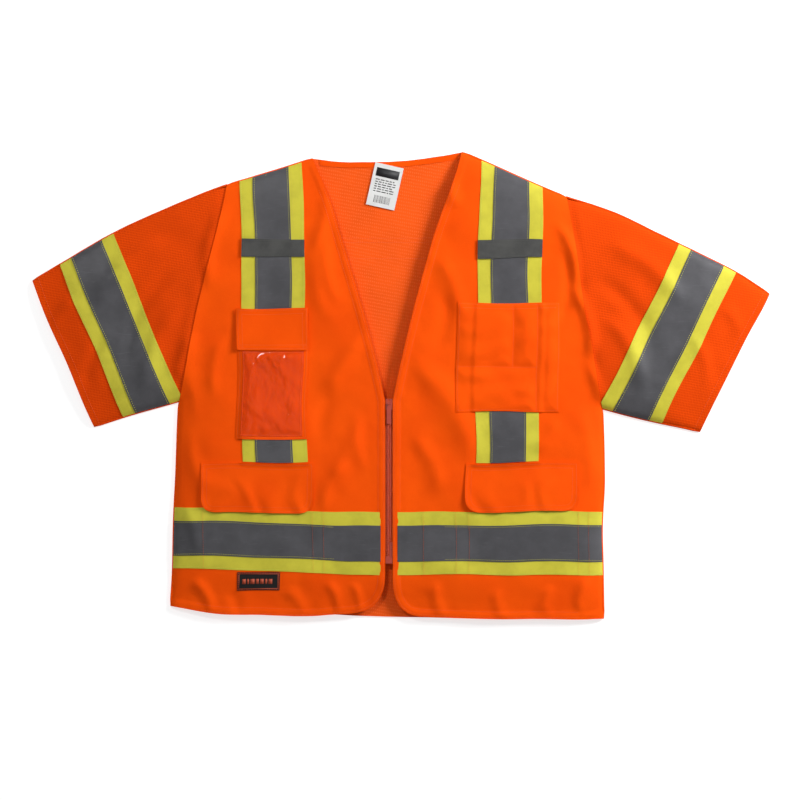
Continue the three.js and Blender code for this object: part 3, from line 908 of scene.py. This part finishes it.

# %% [markdown]
# ## Sleeves
# Each short sleeve is a flat tube of mesh: an upper and a lower layer, joined along the top fold and the
# seam below the arm, and open at the cuff. Both layers are one object.

# %% Sleeves


def merge(name, items):
    """Several meshes as one object."""
    work = bmesh.new()
    for item in items:
        work.from_mesh(item.data)
    mesh = bpy.data.meshes.new(name)
    for material in items[0].data.materials:
        mesh.materials.append(material)
    work.to_mesh(mesh)
    work.free()
    for item in items:
        bpy.data.objects.remove(item)
    made = bpy.data.objects.new(name, mesh)
    scene.collection.objects.link(made)
    return made


sleeve_cloth = 0.6 * mm
tuck = 5 * mm


def tucked_loop(p):
    """The sleeve's outline, with its seam allowance run in under the front at the armhole."""
    loop = p["sleeve"].copy()
    inward = np.array((-p["sign"], -0.3)) * tuck
    for key in ("shoulder", "underarm"):
        at = int(np.argmin(np.linalg.norm(loop - p[key], axis=1)))
        loop[at] += inward * (1 if key == "shoulder" else np.array((1, -1)))
    return loop


def tucked_height(p):
    seam_line = [p["shoulder"], p["underarm"]]
    return lambda at: -1.1 * mm * (1 - smooth((away(at, seam_line) - 2 * mm) / (9 * mm)))


roll_middle = 2.2 * mm
roll_height = 3 * mm
for word, p in points.items():
    loop = tucked_loop(p)
    upper = lay("upper", loop, orange_mesh, front_height, 0, sleeve_cloth, extra=tucked_height(p))
    lower = lay("lower", p["sleeve"], orange_mesh, back_height, 0, sleeve_cloth, step=6 * mm)
    ends = {key: loop[np.argmin(np.linalg.norm(loop - p[key], axis=1))] for key in ("shoulder", "underarm")}
    top_line = np.vstack([[ends["shoulder"]], top_fold(word)])
    fold = rounded_edge("fold", top_line, orange_mesh, None, middle=roll_middle, height=roll_height)
    under_line = [p["cuff_bottom"], p["underarm"], ends["underarm"]]
    seam = rounded_edge("seam", under_line, orange_mesh, None, middle=roll_middle, height=roll_height)
    sleeve = merge(f"{word}_sleeve_cloth", [upper, lower, fold, seam])
    bend_sleeve(sleeve, word)
    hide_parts(f"{word}_sleeve")
    surfaces[sleeve.name] = lambda at: front_height(at) + sleeve_cloth

# %% [markdown]
# ## Two-tone tape
# Every band is a wide lime tape with a narrower silver one sewn along its middle. They follow the cloth
# below them, so their pieces use the same heights with a little more lift. The waist tape crosses the line
# where a front folds, so it is one length of tape across that line.

# %% Tapes on the fronts
upward, level = (0, 1), (1, 0)
tape_cloths = (("lime", lime_tape), ("silver", silver_tape))
for word in points:
    for kind, material in tape_cloths:
        put(f"{word}_chest_tape_{kind}", f"{word}_front_tape_{kind}", material, front_height, "vest_body",
            along=upward)
    for kind, material in tape_cloths:
        nodes = [f"{word}_waist_tape_{kind}", f"{word}_edge_tape_{kind}"]
        loop = join_at_fold(outlines[nodes[0]][0], outlines[nodes[1]][0], fold_x[word])
        band = put(f"{word}_waist_band_{kind}", nodes[0], material, front_height, None, loop, replaced=nodes,
                   along=level)
        bend_front(band)
    put(f"{word}_mic_tab_cloth", f"{word}_mic_tab", grey_webbing, front_height, "vest_body", step=3 * mm,
        along=level)
print("front tapes laid")

# %% Tapes round the sleeves
cuff_way = {}
silver_lift = 0.2 * mm
for word, p in points.items():
    cuff = p["cuff_bottom"] - p["cuff_top"]
    cuff = tuple(cuff / np.linalg.norm(cuff))
    cuff_way[word] = cuff
    for (kind, material), raised in zip(tape_cloths, (0, silver_lift)):
        put(f"{word}_sleeve_band_{kind}", f"{word}_sleeve_tape_{kind}", material,
            lambda at, up=raised: front_height(at) + up, f"{word}_arm", along=cuff)
print("sleeve tapes laid")

# %% [markdown]
# ## Tape on the back
# The bands on the outside of the back, and those on the back of the sleeves, face the table. They are seen
# when the vest is turned over or a sleeve is folded, as the same lime tape with its silver middle.

# %% Tapes on the back
silver_share = 50.8 / 88.9


def clip(loop, axis, limit, side):
    """The part of a loop that lies beyond a limit, on one side of it."""
    kept = []
    for a, b in zip(loop, np.roll(loop, -1, 0)):
        da, db = side * (a[axis] - limit), side * (b[axis] - limit)
        if da >= 0:
            kept.append(a)
        if da * db < 0:
            kept.append(a + (b - a) * da / (da - db))
    return np.array(kept)


film = 0.2 * mm
film_gap = 0.03 * mm


def faced(name, loop, narrow, node, height, lift, thickness, body, **more):
    """A lime tape with a thinner silver film below it, the side that faces out when worn."""
    tape = lay("tape", loop, lime_tape, height, lift, thickness, **more)
    silver = lay("film", narrow, silver_tape, height, lift - film - film_gap, film, **more)
    silver.data.materials.clear()
    silver.data.materials.append(lime_tape)
    silver.data.materials.append(silver_tape)
    silver.data.polygons.foreach_set("material_index", [1] * len(silver.data.polygons))
    tape.data.materials.append(silver_tape)
    both = merge(name, [tape, silver])
    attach(both, body)
    declare([node])


def on_table(at):
    return np.zeros(len(at))


table_gap = 0.25 * mm


def back_tape(name, node, vertical):
    loop = outlines[node][0]
    low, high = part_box(node)
    axis = 0 if vertical else 1
    middle = (loop[:, axis].max() + loop[:, axis].min()) / 2
    half = (high[axis] - low[axis]) / 2 * silver_share
    narrow = clip(clip(loop, axis, middle - half, 1), axis, middle + half, -1)
    thickness = high.z - low.z - table_gap
    faced(name, loop, narrow, node, on_table, table_gap, thickness, "vest_body", step=10 * mm,
          along=upward if vertical else level)


back_tape("back_waist_band", "back_waist_tape", False)
back_tape("back_right_band", "back_right_tape", True)
back_tape("back_left_band", "back_left_tape", True)
for word in points:
    node = f"{word}_sleeve_tape_back"
    faced(f"{word}_sleeve_band_back", outlines[node][0], outlines[f"{word}_sleeve_tape_silver"][0], node,
          back_height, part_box(node)[0].z - back_base + 0.1 * mm, 0.45 * mm, f"{word}_arm", step=6 * mm,
          along=cuff_way[word])
print("back tapes laid")

# %% [markdown]
# ## Pockets
# The pockets are sewn on top of the front and the tape. The chest pocket is a patch with stitched pen
# channels; the identity pocket is a patch with a clear window and a flap; the lower pockets hang inside and
# only their flaps show. Each patch swells a little in the middle and is held flat along its stitches.

# %% Patch pockets


def edge_distance(at, loop):
    return away(at, np.vstack([loop, loop[:1]]))


def rectangle(low, high):
    return np.array([(low.x, low.y), (high.x, low.y), (high.x, high.y), (low.x, high.y)])


over_tape = 1.65 * mm


def settle(at):
    """A patch rises over the tape below it and comes down to the front cloth beside it."""
    share = np.zeros(len(at))
    for word in points:
        tape = outlines[f"{word}_front_tape_lime"][0]
        d = np.where(inside(at, tape), 0, edge_distance(at, tape))
        share = np.maximum(share, 1 - smooth((d - 1 * mm) / (7 * mm)))
    return -over_tape * (1 - share)


def swell(loop, height, reach):
    """A patch that is flat at its edge and stands up in the middle."""
    return lambda at: height * smooth(edge_distance(at, loop) / reach) + settle(at)


chest_low, chest_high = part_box("chest_pocket")
pen_lines = [
    [(chest_high.x - 34 * mm, chest_high.y - 3 * mm), (chest_high.x - 34 * mm, chest_low.y + 3 * mm)],
    [(chest_high.x - 68 * mm, chest_high.y - 3 * mm), (chest_high.x - 68 * mm, chest_low.y + 64 * mm)],
    [(chest_low.x + 3 * mm, chest_low.y + 64 * mm), (chest_high.x - 34 * mm, chest_low.y + 64 * mm)],
]


def chest_swell(at):
    held = np.minimum(edge_distance(at, chest_loop), np.min([away(at, line) for line in pen_lines], 0))
    wander = 0.5 * soft_noise(at, 50 * mm, 23)
    level_folds = 0.5 + 0.5 * np.sin(2 * np.pi * ((at[:, 1] - 0.25 * at[:, 0]) / (33 * mm) + wander))
    wave = (1.1 * mm * level_folds + 0.5 * mm * soft_noise(at, 20 * mm, 29)) * smooth(held / (12 * mm))
    return 1.4 * mm * smooth(held / (20 * mm)) + 0.5 * mm * smooth(held / (4 * mm)) + wave + settle(at)


chest_loop = rectangle(chest_low, chest_high)
put("chest_pocket_cloth", "chest_pocket", orange_cloth, front_height, "vest_body", loop=chest_loop,
    step=3 * mm, extra=chest_swell, thickness=0.8 * mm, slot="orange_cloth")

id_loop = outlines["id_pocket"][0]
put("id_pocket_cloth", "id_pocket", orange_cloth, front_height, "vest_body", step=3 * mm,
    extra=swell(id_loop, 0.4 * mm, 14 * mm))
for word in points:
    bag_top = back_base + 1.0 * mm
    put(f"{word}_pocket_bag", f"{word}_lower_pocket", orange_cloth,
        lambda at: bag_top + (front_height(at) - bag_top) * 0.55, "vest_body", lift=0, step=7 * mm)
print("pockets laid")

# %% [markdown]
# ## The clear window
# Soft vinyl keeps the creases that it is folded with. Sharp low ridges, made from noise that is folded over
# at zero, catch the light in thin bright lines, which is what makes a clear sheet visible at all.

# %% Clear window
window_low, window_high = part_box("id_window")
window_loop = rectangle(window_low, window_high)


def crinkles(at):
    free = smooth(edge_distance(at, window_loop) / (12 * mm))
    large = (1 - np.abs(soft_noise(at, 26 * mm, 31))) ** 4
    small = (1 - np.abs(soft_noise(at, 11 * mm, 37))) ** 5
    return (1.0 + 1.6 * large + 0.7 * small) * mm * free + 0.5 * settle(at)


put("id_window_sheet", "id_window", clear_vinyl, front_height, "vest_body", loop=window_loop, step=1.8 * mm,
    extra=crinkles, thickness=0.3 * mm)
print("window", np.round((window_high - window_low) / mm, 1), "mm")

# %% [markdown]
# ## Flaps
# A flap hangs from its top seam, so it is calm there and freer toward its lower edge, where the cloth makes
# soft upright folds. A wave across the flap that grows downward gives them.

# %% Flaps


def hanging_folds(node, count, height, seed, sink=0.0):
    loop = outlines[node][0]
    low, high = loop.min(0), loop.max(0)

    def rise(at):
        down = (high[1] - at[:, 1]) / (high[1] - low[1])
        across = (at[:, 0] - low[0]) / (high[0] - low[0])
        wander = 0.7 * soft_noise(at, 45 * mm, seed)
        folds_here = 0.5 + 0.5 * np.sin(2 * np.pi * (count * across + wander) + seed)
        edge = 0.35 * mm * (1 - smooth(edge_distance(at, loop) / (7 * mm)))
        return height * folds_here * smooth(down * 1.15) + edge + settle(at) * smooth(1 - down) - sink

    return rise


flap_sink = 4.6 * mm
flap_folds = {
    "id_flap": hanging_folds("id_pocket_flap", 1.5, 0.5 * mm, 3, flap_sink),
    "right_flap": hanging_folds("right_pocket_flap", 4.0, 1.5 * mm, 4),
    "left_flap": hanging_folds("left_pocket_flap", 3.6, 1.4 * mm, 9),
}
for body, folded in flap_folds.items():
    node = body.replace("flap", "pocket_flap")
    flap = put(f"{body}_cloth", node, orange_cloth, front_height, None, step=3 * mm, extra=folded)
    bend_flap(flap)
for word in points:
    put(f"{word}_hook_patch", f"{word}_flap_hook", fuzzy, front_height, f"{word}_flap", step=3 * mm)
    put(f"{word}_loop_patch", f"{word}_pocket_loop", fuzzy, front_height, "vest_body", step=3 * mm)
print("flaps laid")

# %% [markdown]
# ## Labels
# A woven black label sits at the hem and a printed white one hangs inside the neck. Real labels carry
# words; these have only plain bars, blocks and a border, so that they name nobody and nothing.

# %% Labels


def bars(name, quads, z_of, material, body, thickness=0.08 * mm):
    """Flat raised marks, each from its four corners on the table."""
    verts, polygons = [], []
    for quad in quads:
        quad = np.array(quad)
        low = z_of(quad)
        start = len(verts)
        here = sway(quad)
        verts += [(*p, z) for p, z in zip(here, low)] + [(*p, z + thickness) for p, z in zip(here, low)]
        polygons += [(start + 3, start + 2, start + 1, start), (start + 4, start + 5, start + 6, start + 7)]
        for i in range(4):
            after = (i + 1) % 4
            polygons.append((start + i, start + after, start + 4 + after, start + 4 + i))
    item = as_object(name, verts, polygons, material, np.array(verts)[:, :2])
    fix_normals(item)
    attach(item, body)
    return item


def box_bar(x, y, width, height):
    return [(x, y), (x + width, y), (x + width, y + height), (x, y + height)]


put("hem_label_cloth", "hem_label", black_cloth, front_height, "vest_body", step=3 * mm, along=level)
hem_low, hem_high = outlines["hem_label"][0].min(0), outlines["hem_label"][0].max(0)
hem_size = hem_high - hem_low
line_width = 0.8 * mm
frame_bars = [
    box_bar(hem_low[0] + 2 * mm, hem_low[1] + 2 * mm, hem_size[0] - 4 * mm, line_width),
    box_bar(hem_low[0] + 2 * mm, hem_high[1] - 2.8 * mm, hem_size[0] - 4 * mm, line_width),
    box_bar(hem_low[0] + 2 * mm, hem_low[1] + 2.8 * mm, line_width, hem_size[1] - 5.6 * mm),
    box_bar(hem_high[0] - 2.8 * mm, hem_low[1] + 2.8 * mm, line_width, hem_size[1] - 5.6 * mm),
]
block_widths = (5, 3, 6, 4, 5, 3, 5)
x = hem_low[0] + 7 * mm
for block in block_widths:
    frame_bars.append(box_bar(x, hem_low[1] + 8.5 * mm, block * mm, 7 * mm))
    x += (block + 1.7) * mm
label_marks = bars("hem_label_marks", frame_bars, lambda at: surfaces["hem_label_cloth"](at) + 0.02 * mm,
                   label_red, "vest_body")
print(len(frame_bars), "marks on the hem label")

# %% The neck label
put("care_label_cloth", "care_label", white_cloth, back_height, "neck_label", step=3 * mm, along=level)
care = outlines["care_label"][0]
care_top = care[np.argsort(-care[:, 1])[:2]]
care_top = care_top[np.argsort(care_top[:, 0])]
care_bottom = care[np.argsort(care[:, 1])[:2]]
care_bottom = care_bottom[np.argsort(care_bottom[:, 0])]
care_across = care_top[1] - care_top[0]
care_down = care_bottom[0] - care_top[0]
rows_of_marks = [(0.10, 0.10, 0.80, 0.20)]
marks_seed = np.random.default_rng(5)
for line in range(6):
    start = 0.14
    while start < 0.80:
        width = float(marks_seed.uniform(0.05, 0.16))
        rows_of_marks.append((start, 0.36 + 0.055 * line, min(width, 0.86 - start), 0.022))
        start += width + 0.035
for bar in range(17):
    rows_of_marks.append((0.22 + 0.034 * bar, 0.74, float(marks_seed.choice([0.009, 0.018])), 0.17))
quads = [
    [care_top[0] + care_across * a + care_down * b
     for a, b in ((u, v), (u, v + h), (u + w, v + h), (u + w, v))]
    for u, v, w, h in rows_of_marks
]
ink = bars("care_label_print", quads, lambda at: surfaces["care_label_cloth"](at) + 0.02 * mm, label_ink,
           "neck_label", 0.05 * mm)
print(len(quads), "marks on the neck label")

# %% [markdown]
# ## The zip
# Two woven tapes carry a moulded coil each. The coil is many equal teeth on a straight line, so it is made
# with Geometry Nodes: a mesh line gives the places, and each place gets a small rounded tooth. The metal
# slider, its pull and the stops are the solid model's own pieces with a painted finish.

# %% A node tree for teeth


def new_tree(name, inputs):
    """An empty Geometry Nodes tree with named number inputs."""
    tree = bpy.data.node_groups.new(name, "GeometryNodeTree")
    tree.interface.new_socket("Geometry", in_out="INPUT", socket_type="NodeSocketGeometry")
    for label, kind, value in inputs:
        made = tree.interface.new_socket(label, in_out="INPUT", socket_type=kind)
        if value is not None:
            made.default_value = value
    tree.interface.new_socket("Geometry", in_out="OUTPUT", socket_type="NodeSocketGeometry")
    return tree, tree.nodes.new("NodeGroupInput"), tree.nodes.new("NodeGroupOutput")


def linked(tree, kind, sockets=(), **settings):
    item = tree.nodes.new(kind)
    for key, value in settings.items():
        setattr(item, key, value)
    for socket, value in dict(sockets).items():
        if hasattr(value, "links"):
            tree.links.new(value, item.inputs[socket])
        else:
            item.inputs[socket].default_value = value
    return item


def grow(name, mesh, tree, values):
    """Run a tree on a mesh and keep the result as a plain object."""
    source = bpy.data.objects.new(name + "_source", mesh)
    scene.collection.objects.link(source)
    modifier = source.modifiers.new("nodes", "NODES")
    modifier.node_group = tree
    for socket in tree.interface.items_tree:
        if socket.item_type == "SOCKET" and socket.in_out == "INPUT" and socket.name in values:
            modifier[socket.identifier] = values[socket.name]
    source.update_tag()
    bpy.context.view_layer.update()
    result = source.evaluated_get(bpy.context.evaluated_depsgraph_get())
    plain_mesh = bpy.data.meshes.new_from_object(result)
    plain_mesh.name = name
    bpy.data.objects.remove(source)
    item = bpy.data.objects.new(name, plain_mesh)
    scene.collection.objects.link(item)
    return item


def beads_tree(name):
    """Rounded grains set along lines, each turned to follow its line."""
    tree, given, out = new_tree(name, [
        ("Pitch", "NodeSocketFloat", 0.003), ("Length", "NodeSocketFloat", 0.0022),
        ("Width", "NodeSocketFloat", 0.0005), ("Height", "NodeSocketFloat", 0.0004),
        ("Uneven", "NodeSocketFloat", 0.0), ("Seed", "NodeSocketInt", 3),
        ("Finish", "NodeSocketMaterial", None),
    ])
    curve = linked(tree, "GeometryNodeMeshToCurve", {0: given.outputs["Geometry"]}).outputs[0]
    even = linked(tree, "GeometryNodeResampleCurve", {"Curve": curve, "Length": given.outputs["Pitch"]},
                  mode="LENGTH").outputs[0]
    grain = linked(tree, "GeometryNodeMeshUVSphere", {0: 6, 1: 4, 2: 0.5}).outputs[0]
    size = linked(tree, "ShaderNodeCombineXYZ", {
        0: given.outputs["Length"], 1: given.outputs["Width"], 2: given.outputs["Height"]}).outputs[0]
    tangent = linked(tree, "GeometryNodeInputTangent").outputs[0]
    jitter = linked(tree, "FunctionNodeRandomValue", {"Seed": given.outputs["Seed"]}, data_type="FLOAT")
    jitter.inputs[2].default_value = -1.0
    amount = linked(tree, "ShaderNodeMath", {0: jitter.outputs[1], 1: given.outputs["Uneven"]},
                    operation="MULTIPLY").outputs[0]
    turned = linked(tree, "FunctionNodeAlignRotationToVector", {"Vector": tangent}, axis="X",
                    pivot_axis="Z").outputs[0]
    wobble = linked(tree, "ShaderNodeCombineXYZ", {2: amount}).outputs[0]
    spin = linked(tree, "FunctionNodeRotateRotation", {0: turned, 1: wobble},
                  rotation_space="LOCAL").outputs[0]
    placed = linked(tree, "GeometryNodeInstanceOnPoints", {
        "Points": even, "Instance": grain, "Rotation": spin, "Scale": size}).outputs[0]
    real = linked(tree, "GeometryNodeRealizeInstances", {0: placed}).outputs[0]
    smooth_all = linked(tree, "GeometryNodeSetShadeSmooth", {0: real}).outputs[0]
    done = linked(tree, "GeometryNodeSetMaterial", {0: smooth_all, "Material": given.outputs["Finish"]})
    tree.links.new(done.outputs[0], out.inputs["Geometry"])
    return tree


rows_tree = beads_tree("grains_on_lines")


def lines_mesh(name, lines):
    verts, edges = [], []
    for line in lines:
        start = len(verts)
        verts += [tuple(map(float, p)) for p in line]
        edges += [(start + i, start + i + 1) for i in range(len(line) - 1)]
    mesh = bpy.data.meshes.new(name)
    mesh.from_pydata(verts, edges, [])
    return mesh


# %% Zip tapes and teeth
tooth_pitch = 1.9 * mm
coil_centre = 1.45 * mm
line_step = 4 * mm
for word in points:
    tape_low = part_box(f"{word}_zip_tape")[0]
    put(f"{word}_zip_web", f"{word}_zip_tape", zip_tape, lambda at: np.full(len(at), tape_low.z),
        f"{word}_front", lift=0, along=upward, step=6 * mm)
    low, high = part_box(f"{word}_zip_teeth")
    s = points[word]["sign"]
    inner = min(abs(low.x), abs(high.x))
    outer = max(abs(low.x), abs(high.x))
    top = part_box(f"{word}_top_stop")[0].y
    height = (low.z + high.z) / 2
    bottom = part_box("retainer_box")[1].y
    teeth_line = [(s * coil_centre, bottom + (tooth_pitch / 2 if s > 0 else 0) + i * line_step, height)
                  for i in range(int((top - bottom) / line_step) + 1)]
    teeth = grow(f"{word}_coil", lines_mesh("coil_line", [teeth_line]), rows_tree, {
        "Pitch": tooth_pitch, "Length": 1.15 * mm, "Width": 2.7 * mm, "Height": 1.7 * mm, "Uneven": 0.0,
        "Seed": 1, "Finish": zip_coil})
    cord_line = [(s * (outer - 1.5 * mm), p[1], height) for p in teeth_line]
    edge_cord = grow(f"{word}_coil_stitches", lines_mesh("cord_line", [cord_line]), rows_tree, {
        "Pitch": 2.6 * mm, "Length": 2.2 * mm, "Width": 0.9 * mm, "Height": 1.2 * mm, "Uneven": 0.12,
        "Seed": 2, "Finish": zip_tape})
    both = merge(f"{word}_zip_coil", [teeth, edge_cord])
    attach(both, f"{word}_front")
    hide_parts(f"{word}_zip_teeth")
    print(both.name, len(both.data.polygons), "faces, inner edge", round(inner / mm, 2), "mm")

# %% Finishes of the solid pieces
for node in ("zip_slider", "zip_pull", "retainer_box", "insertion_pin", "left_top_stop", "right_top_stop"):
    item = frame["nodes"][node]
    for place in item.material_slots:
        place.material = zip_metal
print("zip metal painted")

# %% [markdown]
# ## Stitching
# Hundreds of small stitches hold all this together, and they show most along the tape. Every seam is a line
# on the cloth, and one Geometry Nodes tree sets a rounded stitch at each step along it. The lines are sorted
# by the piece that they move with, because cloth that bends needs its stitches to bend with it.

# %% Collecting the lines
stitch_height = 0.28 * mm
seams = {}


def stitch(group, line, surface, closed=False):
    """One row of stitches, on the top of a laid piece."""
    line = np.asarray(line, float)
    line = np.vstack([line, line[:1]]) if closed else line
    line = spaced(line, 2.5 * mm, False)
    z = surfaces[surface](line) if isinstance(surface, str) else surface(line)
    seams.setdefault(group, []).append(np.column_stack([sway(line), z + stitch_height * 0.2]))


def tape_rows(group, loop, surface, distance, vertical=None):
    """Stitches along the long sides of a tape."""
    drawn = inset(loop, distance)
    n = len(drawn)
    for i in range(n):
        a, b = drawn[i], drawn[(i + 1) % n]
        if np.linalg.norm(b - a) > 100 * mm:
            d = (b - a) / np.linalg.norm(b - a)
            if vertical is None or (abs(d[1]) > abs(d[0])) == vertical:
                stitch(group, [a, b], surface)


edge_in = 2.2 * mm
for word, p in points.items():
    front = f"{word}_front_stitches"
    lime_group = f"{word}_tape_stitches"
    cloth = f"{word}_front_cloth"
    stitch(front, free_run(word, 10 * mm)[1:-1], cloth)
    stitch(front, free_run(word, 2.4 * mm)[1:-1], cloth)
    for kind in ("lime", "silver"):
        node = f"{word}_front_tape_{kind}"
        tape_rows(lime_group, outlines[node][0], f"{word}_chest_tape_{kind}", edge_in, True)
        nodes = [f"{word}_waist_tape_{kind}", f"{word}_edge_tape_{kind}"]
        loop = join_at_fold(outlines[nodes[0]][0], outlines[nodes[1]][0], fold_x[word])
        tape_rows(lime_group, loop, f"{word}_waist_band_{kind}", edge_in, False)
        tape_rows(f"{word}_band_stitches", outlines[f"{word}_sleeve_tape_{kind}"][0],
                  f"{word}_sleeve_band_{kind}", edge_in)
    cuff = np.array([p["cuff_top"], p["cuff_bottom"]])
    inward = np.array((-p["sign"] * 0.93, 0.35)) * 9 * mm
    stitch(f"{word}_arm_stitches", cuff + inward, f"{word}_sleeve_cloth")
print(len(seams), "groups of seams")

# %% Pocket and label seams
for node, name, group in (("id_pocket", "id_pocket_cloth", "body_stitches"),
                          ("id_pocket_flap", "id_flap_cloth", "id_flap_stitches"),
                          ("right_pocket_flap", "right_flap_cloth", "right_flap_stitches"),
                          ("left_pocket_flap", "left_flap_cloth", "left_flap_stitches")):
    stitch(group, inset(outlines[node][0], 2.5 * mm), name, True)
    if "flap" in node:
        stitch(group, inset(outlines[node][0], 8 * mm), name, True)
stitch("body_stitches", inset(chest_loop, 2.5 * mm), "chest_pocket_cloth", True)
stitch("body_stitches", inset(chest_loop, 8 * mm)[[2, 3]], "chest_pocket_cloth")
for line in pen_lines:
    stitch("body_stitches", line, "chest_pocket_cloth")
stitch("body_stitches", inset(window_loop, 2 * mm), "id_window_sheet", True)
stitch("body_stitches", inset(outlines["hem_label"][0], 1.2 * mm), "hem_label_cloth", True)
for word in points:
    stitch("tab_stitches", inset(outlines[f"{word}_mic_tab"][0], 2 * mm), f"{word}_mic_tab_cloth", True)
yoke_y = 432 * mm
for y in (yoke_y, yoke_y - 6 * mm, yoke_y - 29 * mm):
    stitch("body_stitches", [(-210 * mm, y), (210 * mm, y)], "back_cloth")
crossing = {"right": (-263, -109, -93), "left": (49, 94, 112, 268, 283)}
above_silver = 1.1 * mm
for word, places in crossing.items():
    band = outlines[f"{word}_waist_tape_lime"][0]
    for x in places:
        middle = band[:, 1].mean()
        line = [(x * mm, middle + 44 * mm), (x * mm, middle - 44 * mm)]
        stitch(f"{word}_cross_stitches", line,
               lambda at, w=word: surfaces[f"{w}_waist_band_lime"](at) + above_silver)
print(sum(len(lines) for lines in seams.values()), "rows of stitches")

# %% Sewing
total = 0
for group, lines in seams.items():
    if group == "tab_stitches":
        thread, slot = thread_grey, "grey_webbing"
    elif group.endswith(("tape_stitches", "band_stitches")):
        thread, slot = thread_lime, "lime_tape"
    else:
        thread, slot = thread_orange, "orange_cloth"
    sewn = grow(group, lines_mesh(group, lines), rows_tree, {
        "Pitch": 3.2 * mm, "Length": 2.5 * mm, "Height": stitch_height * 2,
        "Width": 0.30 * mm if group.endswith("cross_stitches") else 0.55 * mm,
        "Uneven": 0.10, "Seed": 7, "Finish": thread})
    total += len(sewn.data.polygons)
    word = group.split("_")[0]
    if group.endswith(("_front_stitches", "_tape_stitches", "_cross_stitches")):
        bend_front(sewn)
    elif group.endswith(("_band_stitches", "_arm_stitches")):
        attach(sewn, f"{word}_arm")
    elif "flap" in group:
        bend_flap(sewn)
    else:
        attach(sewn, "vest_body")
print(total, "faces of stitching")
